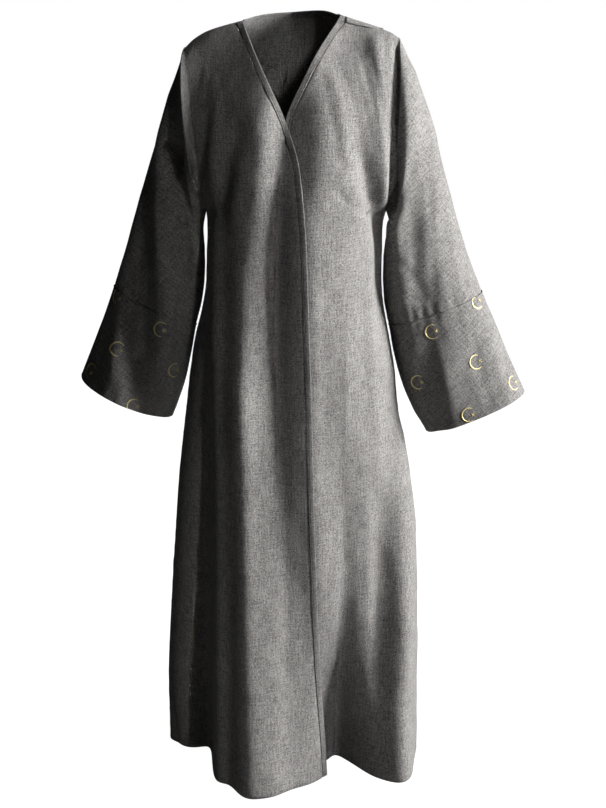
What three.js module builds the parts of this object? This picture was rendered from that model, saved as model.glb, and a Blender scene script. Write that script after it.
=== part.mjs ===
// Open-front abaya of charcoal melange cloth, filled out as it is worn, with nothing inside it.
//
// It is a kimono cut. Each front and the back run out into the upper half of a sleeve, and a lower
// sleeve panel is sewn to each end. A narrow band finishes both front edges and the back neck.
//
// Millimetres. +X is the wearer's left, +Y the wearer's back, +Z up. The origin lies midway between
// the two points where the shoulder seams meet the neck, which is where the wearer carries it.

import * as THREE from "three";

// Cloth
const CLOTH_WALL = 1.6;
const BAND_WALL = 2.6;
const BAND_WIDTH = 10;
const SEAM_GAP = 0.4;

// Main heights. The hem is a little higher at the side seams, and starts to lift this far below
// the underarm.
const HEM_Z = -1450;
const UNDERARM_Z = -342;
const HEM_SIDE_LIFT = 18;
const HEM_LIFT_START = 500;

// Neck and shoulders: the back neckline's rise at the nape and how square it is, the shoulder's
// slope up the neck, how far down the cloth curves in to the shoulder, and how closely the swell of
// the sleeve keeps to the armhole.
const NAPE_RISE = 12;
const NECK_DROP = 3;
const NECK_SQUARENESS = 4;
const NECK_SLOPE = 0.8;
const NECK_TOP_Z = 20;
const SHOULDER_ROUND = { front: 190, back: 140 };
const ARMHOLE_SHARPNESS = 3;
const ARMHOLE_BULGE_SECTIONS = 3;

// The left front lies this far under the right one near its edge, and parts from it below a height
// until it hangs well behind it at the hem. Both fade out between two distances from the edge.
const UNDER = { setback: 5.5, near: 35, far: 95 };
const PARTING = { setback: 46, startZ: -980, near: 30, far: 120 };

// Folds fade out this near a seam, so that the two pieces still meet there, and past their own ends
// over this many widths.
const SEAM_CALM = 34;
const FOLD_FADE = 2.2;

// Folds move the cloth to the front or back more than sideways.
const FOLD_SIDEWAYS = 0.45;

// Grid of each panel: from the front edge or the back's middle to the side, up the body, across the
// chest to the shoulder, and along the upper sleeve, where it is closer near the armhole.
const BODY_COLUMNS = 17;
const BODY_ROWS = 16;
const CHEST_ROWS = 13;
const NECK_COLUMNS = 8;
const SLEEVE_COLUMNS = 11;
const SLEEVE_CROWDING = 1.5;
const CUFF_RINGS = 5;
const CUFF_SEGMENTS = 26;

// How far the cloth stands out in front of and behind the side seams.
const DEPTHS = [
  { z: 20, front: 74, back: 88 },
  { z: -80, front: 98, back: 98 },
  { z: -165, front: 120, back: 104 },
  { z: -255, front: 137, back: 102 },
  { z: -350, front: 133, back: 98 },
  { z: -480, front: 128, back: 99 },
  { z: -640, front: 132, back: 111 },
  { z: -850, front: 141, back: 128 },
  { z: -1100, front: 153, back: 146 },
  { z: -1300, front: 162, back: 158 },
  { z: -1450, front: 168, back: 166 },
];

// How far each side seam lies from the middle.
const SIDE_SEAMS = [
  { z: -342, right: 159, left: 174 },
  { z: -365, right: 157, left: 168 },
  { z: -410, right: 158, left: 167 },
  { z: -480, right: 162, left: 167.5 },
  { z: -530, right: 171, left: 173 },
  { z: -580, right: 184, left: 183 },
  { z: -640, right: 194, left: 194 },
  { z: -700, right: 202, left: 200 },
  { z: -850, right: 221, left: 218 },
  { z: -1000, right: 234, left: 231 },
  { z: -1200, right: 249, left: 243 },
  { z: -1300, right: 254, left: 247 },
  { z: -1450, right: 255, left: 247 },
];

// The line of each front edge, on the wearer's right (over) and left (under).
const FRONT_EDGES = [
  { z: 3, right: -91, left: 86 },
  { z: -7, right: -87, left: 79 },
  { z: -53, right: -67, left: 48 },
  { z: -107, right: -42, left: 18 },
  { z: -165, right: -14, left: -10 },
  { z: -210, right: 3, left: -14 },
  { z: -255, right: 14, left: -12 },
  { z: -361, right: 24, left: -4 },
  { z: -486, right: 29, left: 3 },
  { z: -671, right: 35, left: 9 },
  { z: -903, right: 41, left: 15 },
  { z: -1195, right: 53, left: 27 },
  { z: -1377, right: 67, left: 42 },
  { z: -1450, right: 72, left: 47 },
];

// The shoulder seam, from the neck to the start of the sleeve.
const SHOULDER_SEAMS = [
  { x: 86, right: -7, left: 3 },
  { x: 110, right: -12, left: -5 },
  { x: 152, right: -25, left: -18 },
  { x: 176, right: -39, left: -27 },
  { x: 190, right: -52, left: -36 },
];

// Sections of each sleeve, from the armhole to the cuff's edge: the seam on top, the seam under the
// arm, where the middle lies, and how far the cloth stands out in front and behind. The cuff starts
// at one of them, with a gap that is a share of a section, as is the lead past a cut edge.
const CUFF_SEAM_SECTION = 6;
const CUFF_SEAM_GAP = 0.014;
const SECTION_LEAD = 0.4;
const SLEEVE_FOLDS_START = 0.5;
const RIGHT_SLEEVE = [
  { topX: 190, topZ: -52, underX: 159, underZ: -342, middleY: 0, front: 80, back: 74 },
  { topX: 212, topZ: -110, underX: 165, underZ: -372, middleY: 0, front: 72, back: 70 },
  { topX: 235, topZ: -178, underX: 165, underZ: -402, middleY: 8, front: 65, back: 65 },
  { topX: 265, topZ: -265, underX: 165, underZ: -437, middleY: 14, front: 60, back: 60 },
  { topX: 293, topZ: -352, underX: 166.5, underZ: -472, middleY: 19, front: 58, back: 57 },
  { topX: 315, topZ: -422, underX: 173, underZ: -517, middleY: 22, front: 58, back: 57 },
  { topX: 337, topZ: -487, underX: 184.5, underZ: -562, middleY: 20, front: 62, back: 58 },
  { topX: 360, topZ: -549, underX: 195, underZ: -618, middleY: 14, front: 71, back: 62 },
  { topX: 383, topZ: -605, underX: 209, underZ: -676, middleY: 7, front: 80, back: 66 },
  { topX: 404, topZ: -656, underX: 231, underZ: -734, middleY: 0, front: 89, back: 70 },
];
const LEFT_SLEEVE = [
  { topX: 191, topZ: -36, underX: 174, underZ: -342, middleY: 0, front: 80, back: 74 },
  { topX: 221, topZ: -97, underX: 180, underZ: -366, middleY: 0, front: 73, back: 70 },
  { topX: 248, topZ: -160, underX: 175, underZ: -398, middleY: 8, front: 66, back: 65 },
  { topX: 276, topZ: -255, underX: 172, underZ: -436, middleY: 14, front: 61, back: 60 },
  { topX: 305, topZ: -354, underX: 172, underZ: -474, middleY: 19, front: 59, back: 57 },
  { topX: 330, topZ: -427, underX: 175.5, underZ: -518, middleY: 22, front: 59, back: 57 },
  { topX: 359, topZ: -498, underX: 184.5, underZ: -562, middleY: 20, front: 60, back: 58 },
  { topX: 388, topZ: -562, underX: 195.5, underZ: -622, middleY: 14, front: 62, back: 62 },
  { topX: 415, topZ: -624, underX: 218, underZ: -692, middleY: 7, front: 64, back: 66 },
  { topX: 445, topZ: -687, underX: 258, underZ: -766, middleY: 0, front: 66, back: 70 },
];

const SIDES = {
  right: { name: "right", sign: -1, neckX: 87, neckZ: -7, armholeBulge: 14, sleeve: RIGHT_SLEEVE },
  left: { name: "left", sign: 1, neckX: 86, neckZ: 3, armholeBulge: 8, sleeve: LEFT_SLEEVE },
};

// Folds, each along a line from one end to the other. Rise is outwards, so a trough's is negative.
const FRONT_FOLDS = [
  // Right front
  { x0: -52, z0: -190, x1: -92, z1: -700, rise0: 5, rise1: 12, width0: 40, width1: 38 },
  { x0: -92, z0: -700, x1: -80, z1: -1450, rise0: 12, rise1: 42, width0: 38, width1: 52 },
  { x0: -14, z0: -215, x1: -16, z1: -640, rise0: -10, rise1: -16, width0: 24, width1: 32 },
  { x0: -158, z0: -660, x1: -204, z1: -1450, rise0: -6, rise1: -86, width0: 26, width1: 38 },
  { x0: 30, z0: -960, x1: 60, z1: -1450, rise0: -4, rise1: -40, width0: 40, width1: 48 },
  { x0: -98, z0: -215, x1: -132, z1: -330, rise0: -9, rise1: -11, width0: 18, width1: 20 },
  { x0: -116, z0: -430, x1: -126, z1: -820, rise0: -8, rise1: -6, width0: 18, width1: 22 },
  // Left front
  { x0: 66, z0: -215, x1: 92, z1: -520, rise0: 8, rise1: 9, width0: 30, width1: 36 },
  { x0: 92, z0: -225, x1: 140, z1: -325, rise0: -10, rise1: -9, width0: 18, width1: 20 },
  { x0: 124, z0: -175, x1: 164, z1: -320, rise0: 7, rise1: 9, width0: 18, width1: 20 },
  { x0: 112, z0: -700, x1: 102, z1: -1450, rise0: -8, rise1: -58, width0: 26, width1: 46 },
  { x0: 150, z0: -800, x1: 204, z1: -1450, rise0: 6, rise1: 34, width0: 24, width1: 30 },
];
const BACK_FOLDS = [
  { x0: 0, z0: -260, x1: 0, z1: -1450, rise0: -5, rise1: -36, width0: 22, width1: 40 },
  { x0: -72, z0: -240, x1: -84, z1: -1450, rise0: 6, rise1: 34, width0: 26, width1: 36 },
  { x0: 70, z0: -260, x1: 92, z1: -1450, rise0: 6, rise1: 30, width0: 26, width1: 34 },
  { x0: -128, z0: -520, x1: -164, z1: -1450, rise0: -5, rise1: -46, width0: 20, width1: 32 },
  { x0: 130, z0: -560, x1: 170, z1: -1450, rise0: -5, rise1: -42, width0: 20, width1: 32 },
  { x0: -100, z0: -190, x1: -146, z1: -330, rise0: -9, rise1: -10, width0: 14, width1: 18 },
  { x0: 102, z0: -185, x1: 152, z1: -330, rise0: -10, rise1: -10, width0: 14, width1: 18 },
];
const SLEEVE_FRONT_FOLDS = [
  { x0: -206, z0: -80, x1: -212, z1: -240, rise0: -8, rise1: -20, width0: 13, width1: 17 },
  { x0: -212, z0: -240, x1: -186, z1: -345, rise0: -20, rise1: -10, width0: 17, width1: 14 },
  { x0: -232, z0: -180, x1: -228, z1: -540, rise0: 7, rise1: 9, width0: 20, width1: 22 },
  { x0: -262, z0: -470, x1: -275, z1: -700, rise0: -10, rise1: -14, width0: 22, width1: 26 },
  { x0: -310, z0: -500, x1: -335, z1: -640, rise0: 8, rise1: 10, width0: 20, width1: 24 },
  { x0: 209, z0: -60, x1: 202, z1: -325, rise0: -8, rise1: -18, width0: 12, width1: 15 },
  { x0: 262, z0: -210, x1: 232, z1: -480, rise0: 6, rise1: 5, width0: 20, width1: 22 },
  { x0: 276, z0: -360, x1: 312, z1: -600, rise0: -5, rise1: -13, width0: 20, width1: 24 },
  { x0: 226, z0: -500, x1: 262, z1: -700, rise0: -5, rise1: -12, width0: 20, width1: 24 },
];
const SLEEVE_BACK_FOLDS = [
  { x0: -208, z0: -90, x1: -204, z1: -330, rise0: -7, rise1: -18, width0: 10, width1: 14 },
  { x0: -236, z0: -250, x1: -300, z1: -660, rise0: -6, rise1: -13, width0: 18, width1: 24 },
  { x0: 208, z0: -80, x1: 204, z1: -330, rise0: -7, rise1: -18, width0: 10, width1: 14 },
  { x0: 244, z0: -250, x1: 328, z1: -680, rise0: -6, rise1: -13, width0: 18, width1: 24 },
];

const CLOTH_COLOUR = 0x4b4a48;
const cloth = new THREE.MeshStandardMaterial({ color: CLOTH_COLOUR, roughness: 0.92, metalness: 0 });

const mix = THREE.MathUtils.lerp;
const ease = THREE.MathUtils.smoothstep;
const clamp = THREE.MathUtils.clamp;

// A table's column at a key between its rows, on a smooth curve. Its keys rise or fall all the way.
function read(table, key, column, at) {
  const way = Math.sign(table[table.length - 1][key] - table[0][key]);
  let row = 0;
  while (row < table.length - 2 && way * (at - table[row + 1][key]) > 0) row += 1;
  const slope = (i) => {
    const a = table[Math.max(i - 1, 0)];
    const b = table[Math.min(i + 1, table.length - 1)];
    return (b[column] - a[column]) / (b[key] - a[key]);
  };
  const from = table[row];
  const to = table[row + 1];
  const span = to[key] - from[key];
  const t = clamp((at - from[key]) / span, 0, 1);
  const rest = 1 - t;
  return (
    from[column] * (1 + 2 * t) * rest * rest +
    slope(row) * span * t * rest * rest +
    to[column] * t * t * (3 - 2 * t) -
    slope(row + 1) * span * t * t * rest
  );
}

// A sleeve's section at a place counted in rows of its table.
function sleeveSection(side, place) {
  const table = side.sleeve.map((row, index) => ({ ...row, index }));
  const names = ["topX", "topZ", "underX", "underZ", "middleY", "front", "back"];
  return Object.fromEntries(names.map((name) => [name, read(table, "index", name, place)]));
}

const shoulderZ = (side, out) => read(SHOULDER_SEAMS, "x", side.name, out);

// A level between the right side's and the left's, at x across the given half width.
const level = (rightZ, leftZ, x, half) => mix(rightZ, leftZ, (1 + clamp(x / half, -1, 1)) / 2);

// The shoulder's ridge, which carries on up the neck inside the neckline.
function ridgeZ(side, out) {
  const within = side.neckX - Math.abs(out);
  if (within <= 0) return shoulderZ(side, out);
  const { right, left } = SIDES;
  return level(right.neckZ, left.neckZ, side.sign * out, side.neckX) + within * NECK_SLOPE;
}

// Where the neck band meets the back at the shoulder seam.
const bandCorner = (side) => side.neckX + BAND_WIDTH;

// The back's top edge below its neck band, and the shoulder seam beyond it.
function backTopZ(side, out) {
  const corner = bandCorner(side);
  if (out >= corner) return shoulderZ(side, out);
  const [rightZ, leftZ] = [SIDES.right, SIDES.left].map((s) => shoulderZ(s, bandCorner(s)));
  const rise = NAPE_RISE - BAND_WIDTH + NECK_DROP;
  return level(rightZ, leftZ, side.sign * out, corner) + rise * (1 - (out / corner) ** NECK_SQUARENESS);
}

const topZ = (side, face, out) =>
  face === "back" ? backTopZ(side, out) : shoulderZ(side, Math.max(out, side.neckX));

// Depth of the shoulder's rounding at a distance below its ridge.
function rounding(below, radius) {
  const short = 1 - clamp(below / radius, 0, 1);
  return Math.sqrt(Math.max(0, 1 - short * short));
}

function torsoDepth(side, face, out, z) {
  const below = ridgeZ(side, out) - z;
  return read(DEPTHS, "z", face, Math.min(z, NECK_TOP_Z)) * rounding(below, SHOULDER_ROUND[face]);
}

// A place on the cloth: x, the seams' own y, z, and the depth in front of or behind those seams.
const place = (side, face, out, middle, z, depth) => ({ face, x: side.sign * out, middle, z, depth });

function bodyPlace(side, face, z, out) {
  const share = clamp(out / read(SIDE_SEAMS, "z", side.name, z), -1, 1);
  const depth = read(DEPTHS, "z", face, z) * Math.sqrt(Math.max(0, 1 - share * share));
  const lift = HEM_SIDE_LIFT * share ** 4 * ease(UNDERARM_Z - z, HEM_LIFT_START, UNDERARM_Z - HEM_Z);
  return place(side, face, out, 0, z + lift, depth);
}

// Rows across the chest are counted by the turn round the armhole, from under the arm to the top.
const chestHalf = (side, turn) =>
  mix(side.sleeve[0].underX, side.sleeve[0].topX, (1 + Math.sin(turn)) / 2);
const armholeOut = (side, turn) => chestHalf(side, turn) + side.armholeBulge * Math.cos(turn);

function chestDepth(side, face, turn, out, z) {
  const share = clamp(out / chestHalf(side, turn), -1, 1);
  const torso = torsoDepth(side, face, out, z) * Math.sqrt(1 - share * share);
  const reach = Math.abs(out / armholeOut(side, turn)) ** ARMHOLE_SHARPNESS;
  return Math.hypot(torso, side.sleeve[0][face] * Math.cos(turn) * reach);
}

function chestPlace(side, face, turn, out) {
  const climb = (1 + Math.sin(turn)) / 2;
  const z = UNDERARM_Z + (topZ(side, face, out) - UNDERARM_Z) * climb;
  return place(side, face, out, 0, z, chestDepth(side, face, turn, out, z));
}

function sleevePlace(side, face, at, turn) {
  const section = sleeveSection(side, at);
  const climb = (1 + Math.sin(turn)) / 2;
  const bulge = side.armholeBulge * Math.cos(turn) * (1 - ease(at, 0, ARMHOLE_BULGE_SECTIONS));
  const out = mix(section.underX, section.topX, climb) + bulge;
  const z = mix(section.underZ, section.topZ, climb);
  const spot = place(side, face, out, section.middleY, z, section[face] * Math.cos(turn));
  return { ...spot, sleeve: ease(at, 0, SLEEVE_FOLDS_START) };
}

// Rise of one fold at x, z.
function foldRise(fold, x, z) {
  const dx = fold.x1 - fold.x0;
  const dz = fold.z1 - fold.z0;
  const length = Math.hypot(dx, dz);
  const along = ((x - fold.x0) * dx + (z - fold.z0) * dz) / length;
  const across = ((x - fold.x0) * dz - (z - fold.z0) * dx) / length;
  const t = clamp(along / length, 0, 1);
  const past = Math.max(0, -along, along - length);
  const width = mix(fold.width0, fold.width1, t);
  const end = Math.exp(-((past / (FOLD_FADE * width)) ** 2));
  return mix(fold.rise0, fold.rise1, t) * Math.exp(-((across / width) ** 2)) * end;
}

const foldTable = (face, onSleeve) => {
  if (onSleeve) return face === "front" ? SLEEVE_FRONT_FOLDS : SLEEVE_BACK_FOLDS;
  return face === "front" ? FRONT_FOLDS : BACK_FOLDS;
};

function foldsAt(at) {
  const sum = (table) => table.reduce((rise, fold) => rise + foldRise(fold, at.x, at.z), 0);
  const calm = ease(at.depth, 0, SEAM_CALM);
  return calm * mix(sum(foldTable(at.face, false)), sum(foldTable(at.face, true)), at.sleeve ?? 0);
}

// The left front lies under the right one at the opening, and parts from it towards the hem.
function setback(side, at) {
  if (side.name !== "left") return 0;
  const out = at.x - read(FRONT_EDGES, "z", "left", at.z);
  const drop = ease(PARTING.startZ - at.z, 0, PARTING.startZ - HEM_Z);
  const share = ({ near, far }) => 1 - ease(out, near, far);
  return UNDER.setback * share(UNDER) + PARTING.setback * drop * share(PARTING);
}

// Depths under this lie on a seam.
const AT_SEAM = 1e-6;

// A quad mesh that is collected point by point: its vertices, how far folds move each, and which
// lie on a seam. Each quad belongs to a piece. Those of no piece only shape the normals beside them.
// Twins are points that face each other across a seam, and share a normal.
class Sheet {
  constructor() {
    this.points = [];
    this.rises = [];
    this.onSeam = [];
    this.quads = [];
    this.twins = [];
  }

  add(at, inward = 0) {
    const way = at.face === "front" ? -1 : 1;
    const gap = at.joined ? 0 : SEAM_GAP / 2;
    this.points.push(new THREE.Vector3(at.x, at.middle + way * (at.depth + gap), at.z));
    this.rises.push(foldsAt(at) - inward);
    this.onSeam.push(!at.joined && at.depth < AT_SEAM);
    return this.points.length - 1;
  }

  // Fills the quads between rows, where a row may be shorter than the one above it.
  fill(rows, flip, pieceAt) {
    for (let r = 1; r < rows.length; r += 1) {
      const width = Math.min(rows[r - 1].length, rows[r].length);
      for (let i = 1; i < width; i += 1) {
        const [a, b, c, d] = [rows[r - 1][i - 1], rows[r - 1][i], rows[r][i], rows[r][i - 1]];
        this.quads.push({ corners: flip ? [a, d, c, b] : [a, b, c, d], piece: pieceAt(r - 1, i - 1) });
      }
    }
  }

  normals() {
    const sums = this.points.map(() => new THREE.Vector3());
    for (const { corners } of this.quads) {
      const [a, b, c, d] = corners.map((i) => this.points[i]);
      const face = c.clone().sub(a).cross(d.clone().sub(b));
      corners.forEach((i) => sums[i].add(face));
    }
    for (const [one, other] of this.twins) {
      sums[one].add(sums[other]);
      sums[other].copy(sums[one]);
    }
    sums.forEach((sum, i) => {
      if (this.onSeam[i]) sum.y = 0;
      sum.normalize();
    });
    return sums;
  }

  // Moves every point out or in by its folds, once all quads are there.
  drape() {
    const before = this.normals();
    for (const normal of before) normal.setX(normal.x * FOLD_SIDEWAYS).normalize();
    this.points.forEach((point, i) => point.addScaledVector(before[i], this.rises[i]));
    this.facing = this.normals();
  }

  // The wall of one piece, closed all round its edges.
  wall(piece, thickness) {
    const ids = new Map();
    const kept = [];
    const idOf = (i) => {
      if (!ids.has(i)) ids.set(i, kept.push(i) - 1);
      return ids.get(i);
    };
    const quads = this.quads.filter((q) => q.piece === piece).map((q) => q.corners.map(idOf));
    const skin = (way) =>
      kept.map((i) => this.points[i].clone().addScaledVector(this.facing[i], (way * thickness) / 2));
    const vertices = [...skin(1), ...skin(-1)];
    const count = kept.length;
    const triangles = [];
    const edges = new Map();
    for (const [a, b, c, d] of quads) {
      triangles.push(a, b, c, a, c, d);
      triangles.push(count + a, count + c, count + b, count + a, count + d, count + c);
      for (const pair of [[a, b], [b, c], [c, d], [d, a]]) edges.set(pair.join(" "), pair);
    }
    for (const [from, to] of edges.values()) {
      if (edges.has(`${to} ${from}`)) continue;
      triangles.push(from, count + from, count + to, from, count + to, to);
    }
    const geometry = new THREE.BufferGeometry();
    const numbers = vertices.flatMap((vertex) => vertex.toArray());
    geometry.setAttribute("position", new THREE.Float32BufferAttribute(numbers, 3));
    geometry.setIndex(triangles);
    return geometry;
  }
}

// Places from an edge to a side, closer together where the body turns away at the side seam.
function spread(edge, side, share) {
  const start = Math.asin(clamp(edge / side, -1, 1));
  return side * Math.sin(mix(start, Math.PI / 2, share));
}

// The line of a front edge, and a distance in from it, measured square to it.
const frontEdge = (side, z) => side.sign * read(FRONT_EDGES, "z", side.name, z);
const inFromEdge = (side, z, width) =>
  frontEdge(side, z) + width * Math.hypot(1, (frontEdge(side, z + 1) - frontEdge(side, z - 1)) / 2);

const PANEL_ROWS = BODY_ROWS + CHEST_ROWS;
const turnOf = (row) => mix(-Math.PI / 2, Math.PI / 2, (row - BODY_ROWS) / CHEST_ROWS);

// One row of places from the given starts to the side seam or, across the chest, on to the cuff.
function panelRow(side, face, row, startsAt) {
  const onBody = row < BODY_ROWS;
  const turn = turnOf(row);
  const climb = (1 + Math.sin(turn)) / 2;
  const z = onBody ? mix(HEM_Z, UNDERARM_Z, row / BODY_ROWS) : mix(UNDERARM_Z, side.neckZ, climb);
  const edge = onBody ? read(SIDE_SEAMS, "z", side.name, z) : armholeOut(side, turn);
  const starts = startsAt(z);
  const outs = [...starts.slice(0, -1)];
  for (let i = 0; i <= BODY_COLUMNS; i += 1) {
    const start = starts[starts.length - 1];
    const neckShare = i / NECK_COLUMNS;
    const shoulderShare = (i - NECK_COLUMNS) / (BODY_COLUMNS - NECK_COLUMNS);
    const corner = bandCorner(side);
    const even = mix(start, edge, i / BODY_COLUMNS);
    const fitted = i < NECK_COLUMNS ? corner * neckShare : mix(corner, edge, shoulderShare);
    const top = face === "back" ? fitted : even;
    outs.push(mix(spread(start, edge, i / BODY_COLUMNS), top, onBody ? 0 : ease(climb, 0, 1)));
  }
  if (onBody) return outs.map((out) => bodyPlace(side, face, z, out));
  const places = outs.map((out) => chestPlace(side, face, turn, out));
  for (let i = 1; i <= SLEEVE_COLUMNS; i += 1) {
    const at = CUFF_SEAM_SECTION * (i / SLEEVE_COLUMNS) ** SLEEVE_CROWDING;
    places.push(sleevePlace(side, face, at, turn));
  }
  places.push(sleevePlace(side, face, CUFF_SEAM_SECTION + SECTION_LEAD, turn));
  return places;
}

const isPastCuffSeam = (column, starts) => column >= starts - 1 + BODY_COLUMNS + SLEEVE_COLUMNS;

// A front with its band: the band's two columns, then the seam between them, then the panel.
function frontSheet(side) {
  const sheet = new Sheet();
  const offsets = [0, BAND_WIDTH / 2, BAND_WIDTH, BAND_WIDTH + SEAM_GAP];
  const startsAt = (z) => offsets.map((width) => inFromEdge(side, z, width));
  const rows = [];
  for (let row = 0; row <= PANEL_ROWS; row += 1) {
    const places = panelRow(side, "front", row, startsAt);
    rows.push(places.map((at) => sheet.add(at, setback(side, at))));
  }
  const seam = offsets.length - 2;
  sheet.twins = rows.map((row) => [row[seam], row[seam + 1]]);
  sheet.fill(rows, side.sign < 0, (row, column) => {
    if (column === seam || isPastCuffSeam(column, offsets.length)) return null;
    return column < seam ? "band" : "panel";
  });
  sheet.drape();
  return sheet;
}

// The neck band's rows above the back's top edge: its lower edge, middle and upper edge.
function neckRow(side, down, column) {
  const share = column / NECK_COLUMNS;
  const calm = 1 - share ** NECK_SQUARENESS;
  const lower = share * (bandCorner(side) - SEAM_GAP);
  const out = mix(share * side.neckX, lower, down);
  const { right, left } = SIDES;
  const upperZ = level(right.neckZ, left.neckZ, side.sign * out, side.neckX) + NAPE_RISE * calm;
  const lowerZ = column === NECK_COLUMNS ? shoulderZ(side, lower) : backTopZ(side, lower) + SEAM_GAP;
  const z = mix(upperZ, lowerZ, down);
  const depth = column === NECK_COLUMNS ? 0 : chestDepth(side, "back", Math.PI / 2, out, z);
  return place(side, "back", out, 0, z, depth);
}

function backSheet() {
  const sheet = new Sheet();
  const middle = [];
  for (const side of [SIDES.right, SIDES.left]) {
    const rows = [];
    const addRow = (places) => {
      const row = rows.length;
      const ids = places.map((at, i) => (i === 0 && middle[row] >= 0 ? middle[row] : sheet.add(at)));
      middle[row] = ids[0];
      rows.push(ids);
    };
    for (let row = 0; row <= PANEL_ROWS; row += 1) addRow(panelRow(side, "back", row, () => [0]));
    const columns = Array.from({ length: NECK_COLUMNS + 1 }, (_, column) => column);
    for (const down of [1, 0.5, 0]) addRow(columns.map((column) => neckRow(side, down, column)));
    const inner = columns.filter((column) => column > 0 || side.sign < 0);
    sheet.twins.push(...inner.map((column) => [rows[PANEL_ROWS][column], rows[PANEL_ROWS + 1][column]]));
    sheet.fill(rows, side.sign > 0, (row, column) => {
      if (row === PANEL_ROWS || isPastCuffSeam(column, 1)) return null;
      return row > PANEL_ROWS ? "band" : "panel";
    });
  }
  sheet.drape();
  return sheet;
}

// The lower sleeve, one panel closed into a tube. The row before it only leads its normals in.
function cuffSheet(side) {
  const sheet = new Sheet();
  const last = side.sleeve.length - 1;
  const start = CUFF_SEAM_SECTION + CUFF_SEAM_GAP;
  const rings = Array.from({ length: CUFF_RINGS + 1 }, (_, i) => mix(start, last, i / CUFF_RINGS));
  const rows = [];
  for (const at of [CUFF_SEAM_SECTION - SECTION_LEAD, ...rings]) {
    const ids = [];
    for (let i = 0; i < CUFF_SEGMENTS; i += 1) {
      const angle = (2 * Math.PI * i) / CUFF_SEGMENTS - Math.PI / 2;
      const face = i <= CUFF_SEGMENTS / 2 ? "front" : "back";
      const turn = face === "front" ? angle : Math.PI - angle;
      ids.push(sheet.add({ ...sleevePlace(side, face, at, turn), joined: true }));
    }
    rows.push([...ids, ids[0]]);
  }
  sheet.fill(rows, side.sign > 0, (row) => (row === 0 ? null : "cuff"));
  sheet.drape();
  return sheet;
}

const frontRight = frontSheet(SIDES.right);
const frontLeft = frontSheet(SIDES.left);
const back = backSheet();
const pieces = {
  front_right: frontRight.wall("panel", CLOTH_WALL),
  front_left: frontLeft.wall("panel", CLOTH_WALL),
  back: back.wall("panel", CLOTH_WALL),
  cuff_right: cuffSheet(SIDES.right).wall("cuff", CLOTH_WALL),
  cuff_left: cuffSheet(SIDES.left).wall("cuff", CLOTH_WALL),
  front_band_right: frontRight.wall("band", BAND_WALL),
  front_band_left: frontLeft.wall("band", BAND_WALL),
  neck_band: back.wall("band", BAND_WALL),
};

const abaya = new THREE.Group();
for (const [name, geometry] of Object.entries(pieces)) {
  const mesh = new THREE.Mesh(geometry, cloth.clone());
  mesh.name = name;
  abaya.add(mesh);
}

export default abaya;
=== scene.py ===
"""Open-front abaya in charcoal melange cloth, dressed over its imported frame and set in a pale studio.

Run as a script, it makes every panel as a thin folded cloth on the frame's own form, then the bands, and
embroidery and stitching that lie on them.
"""

import math

import bpy
import numpy as np
from bpy.props import FloatProperty, FloatVectorProperty, IntProperty, PointerProperty
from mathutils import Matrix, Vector
from mathutils.bvhtree import BVHTree


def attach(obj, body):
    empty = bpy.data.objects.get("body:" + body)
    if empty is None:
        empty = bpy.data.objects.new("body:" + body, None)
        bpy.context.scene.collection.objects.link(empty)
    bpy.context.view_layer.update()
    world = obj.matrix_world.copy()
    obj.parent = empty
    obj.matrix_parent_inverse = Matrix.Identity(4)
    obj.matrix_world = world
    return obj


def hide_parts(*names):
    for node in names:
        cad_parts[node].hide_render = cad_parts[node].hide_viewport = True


bl_info = {
    "name": "Open-front abaya",
    "version": (1, 0, 0),
    "blender": (4, 5, 0),
    "location": "View3D > Sidebar > Abaya",
    "description": "Makes a melange abaya from its cut: panels, bands, embroidery and stitching",
    "category": "Object",
}

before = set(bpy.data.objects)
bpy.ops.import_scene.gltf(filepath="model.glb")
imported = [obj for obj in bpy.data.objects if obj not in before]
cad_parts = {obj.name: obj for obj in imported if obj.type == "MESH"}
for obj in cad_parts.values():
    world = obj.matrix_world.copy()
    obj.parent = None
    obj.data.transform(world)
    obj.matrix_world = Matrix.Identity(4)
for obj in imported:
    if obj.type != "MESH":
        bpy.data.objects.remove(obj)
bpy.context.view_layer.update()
BODY = "root"
MM = 0.001
TINY = 1e-9


# The cut, in millimetres, as the frame has it


def table(names, *rows):
    """A table with named columns."""
    return {name: np.array(column, float) for name, column in zip(names.split(), zip(*rows))}


HEM_Z = -1450
UNDERARM_Z = -342
HEM_SIDE_LIFT = 18
HEM_LIFT_START = 500
NAPE_RISE = 12
NECK_DROP = 3
NECK_SQUARENESS = 4
NECK_SLOPE = 0.8
NECK_TOP_Z = 20
SHOULDER_ROUND = {"front": 190, "back": 140}
ARMHOLE_SHARPNESS = 3
ARMHOLE_BULGE_SECTIONS = 3
BAND_WIDTH = 10
CUFF_SEAM_SECTION = 6
SLEEVE_FOLDS_START = 0.5
SEAM_CALM = 34
CREASE_CALM = 12
FOLD_FADE = 2.2
FOLD_SIDEWAYS = 0.45
UNDER = {"setback": 5.5, "near": 35, "far": 95}
PARTING = {"setback": 46, "start_z": -980, "near": 45, "far": 120}

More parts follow.
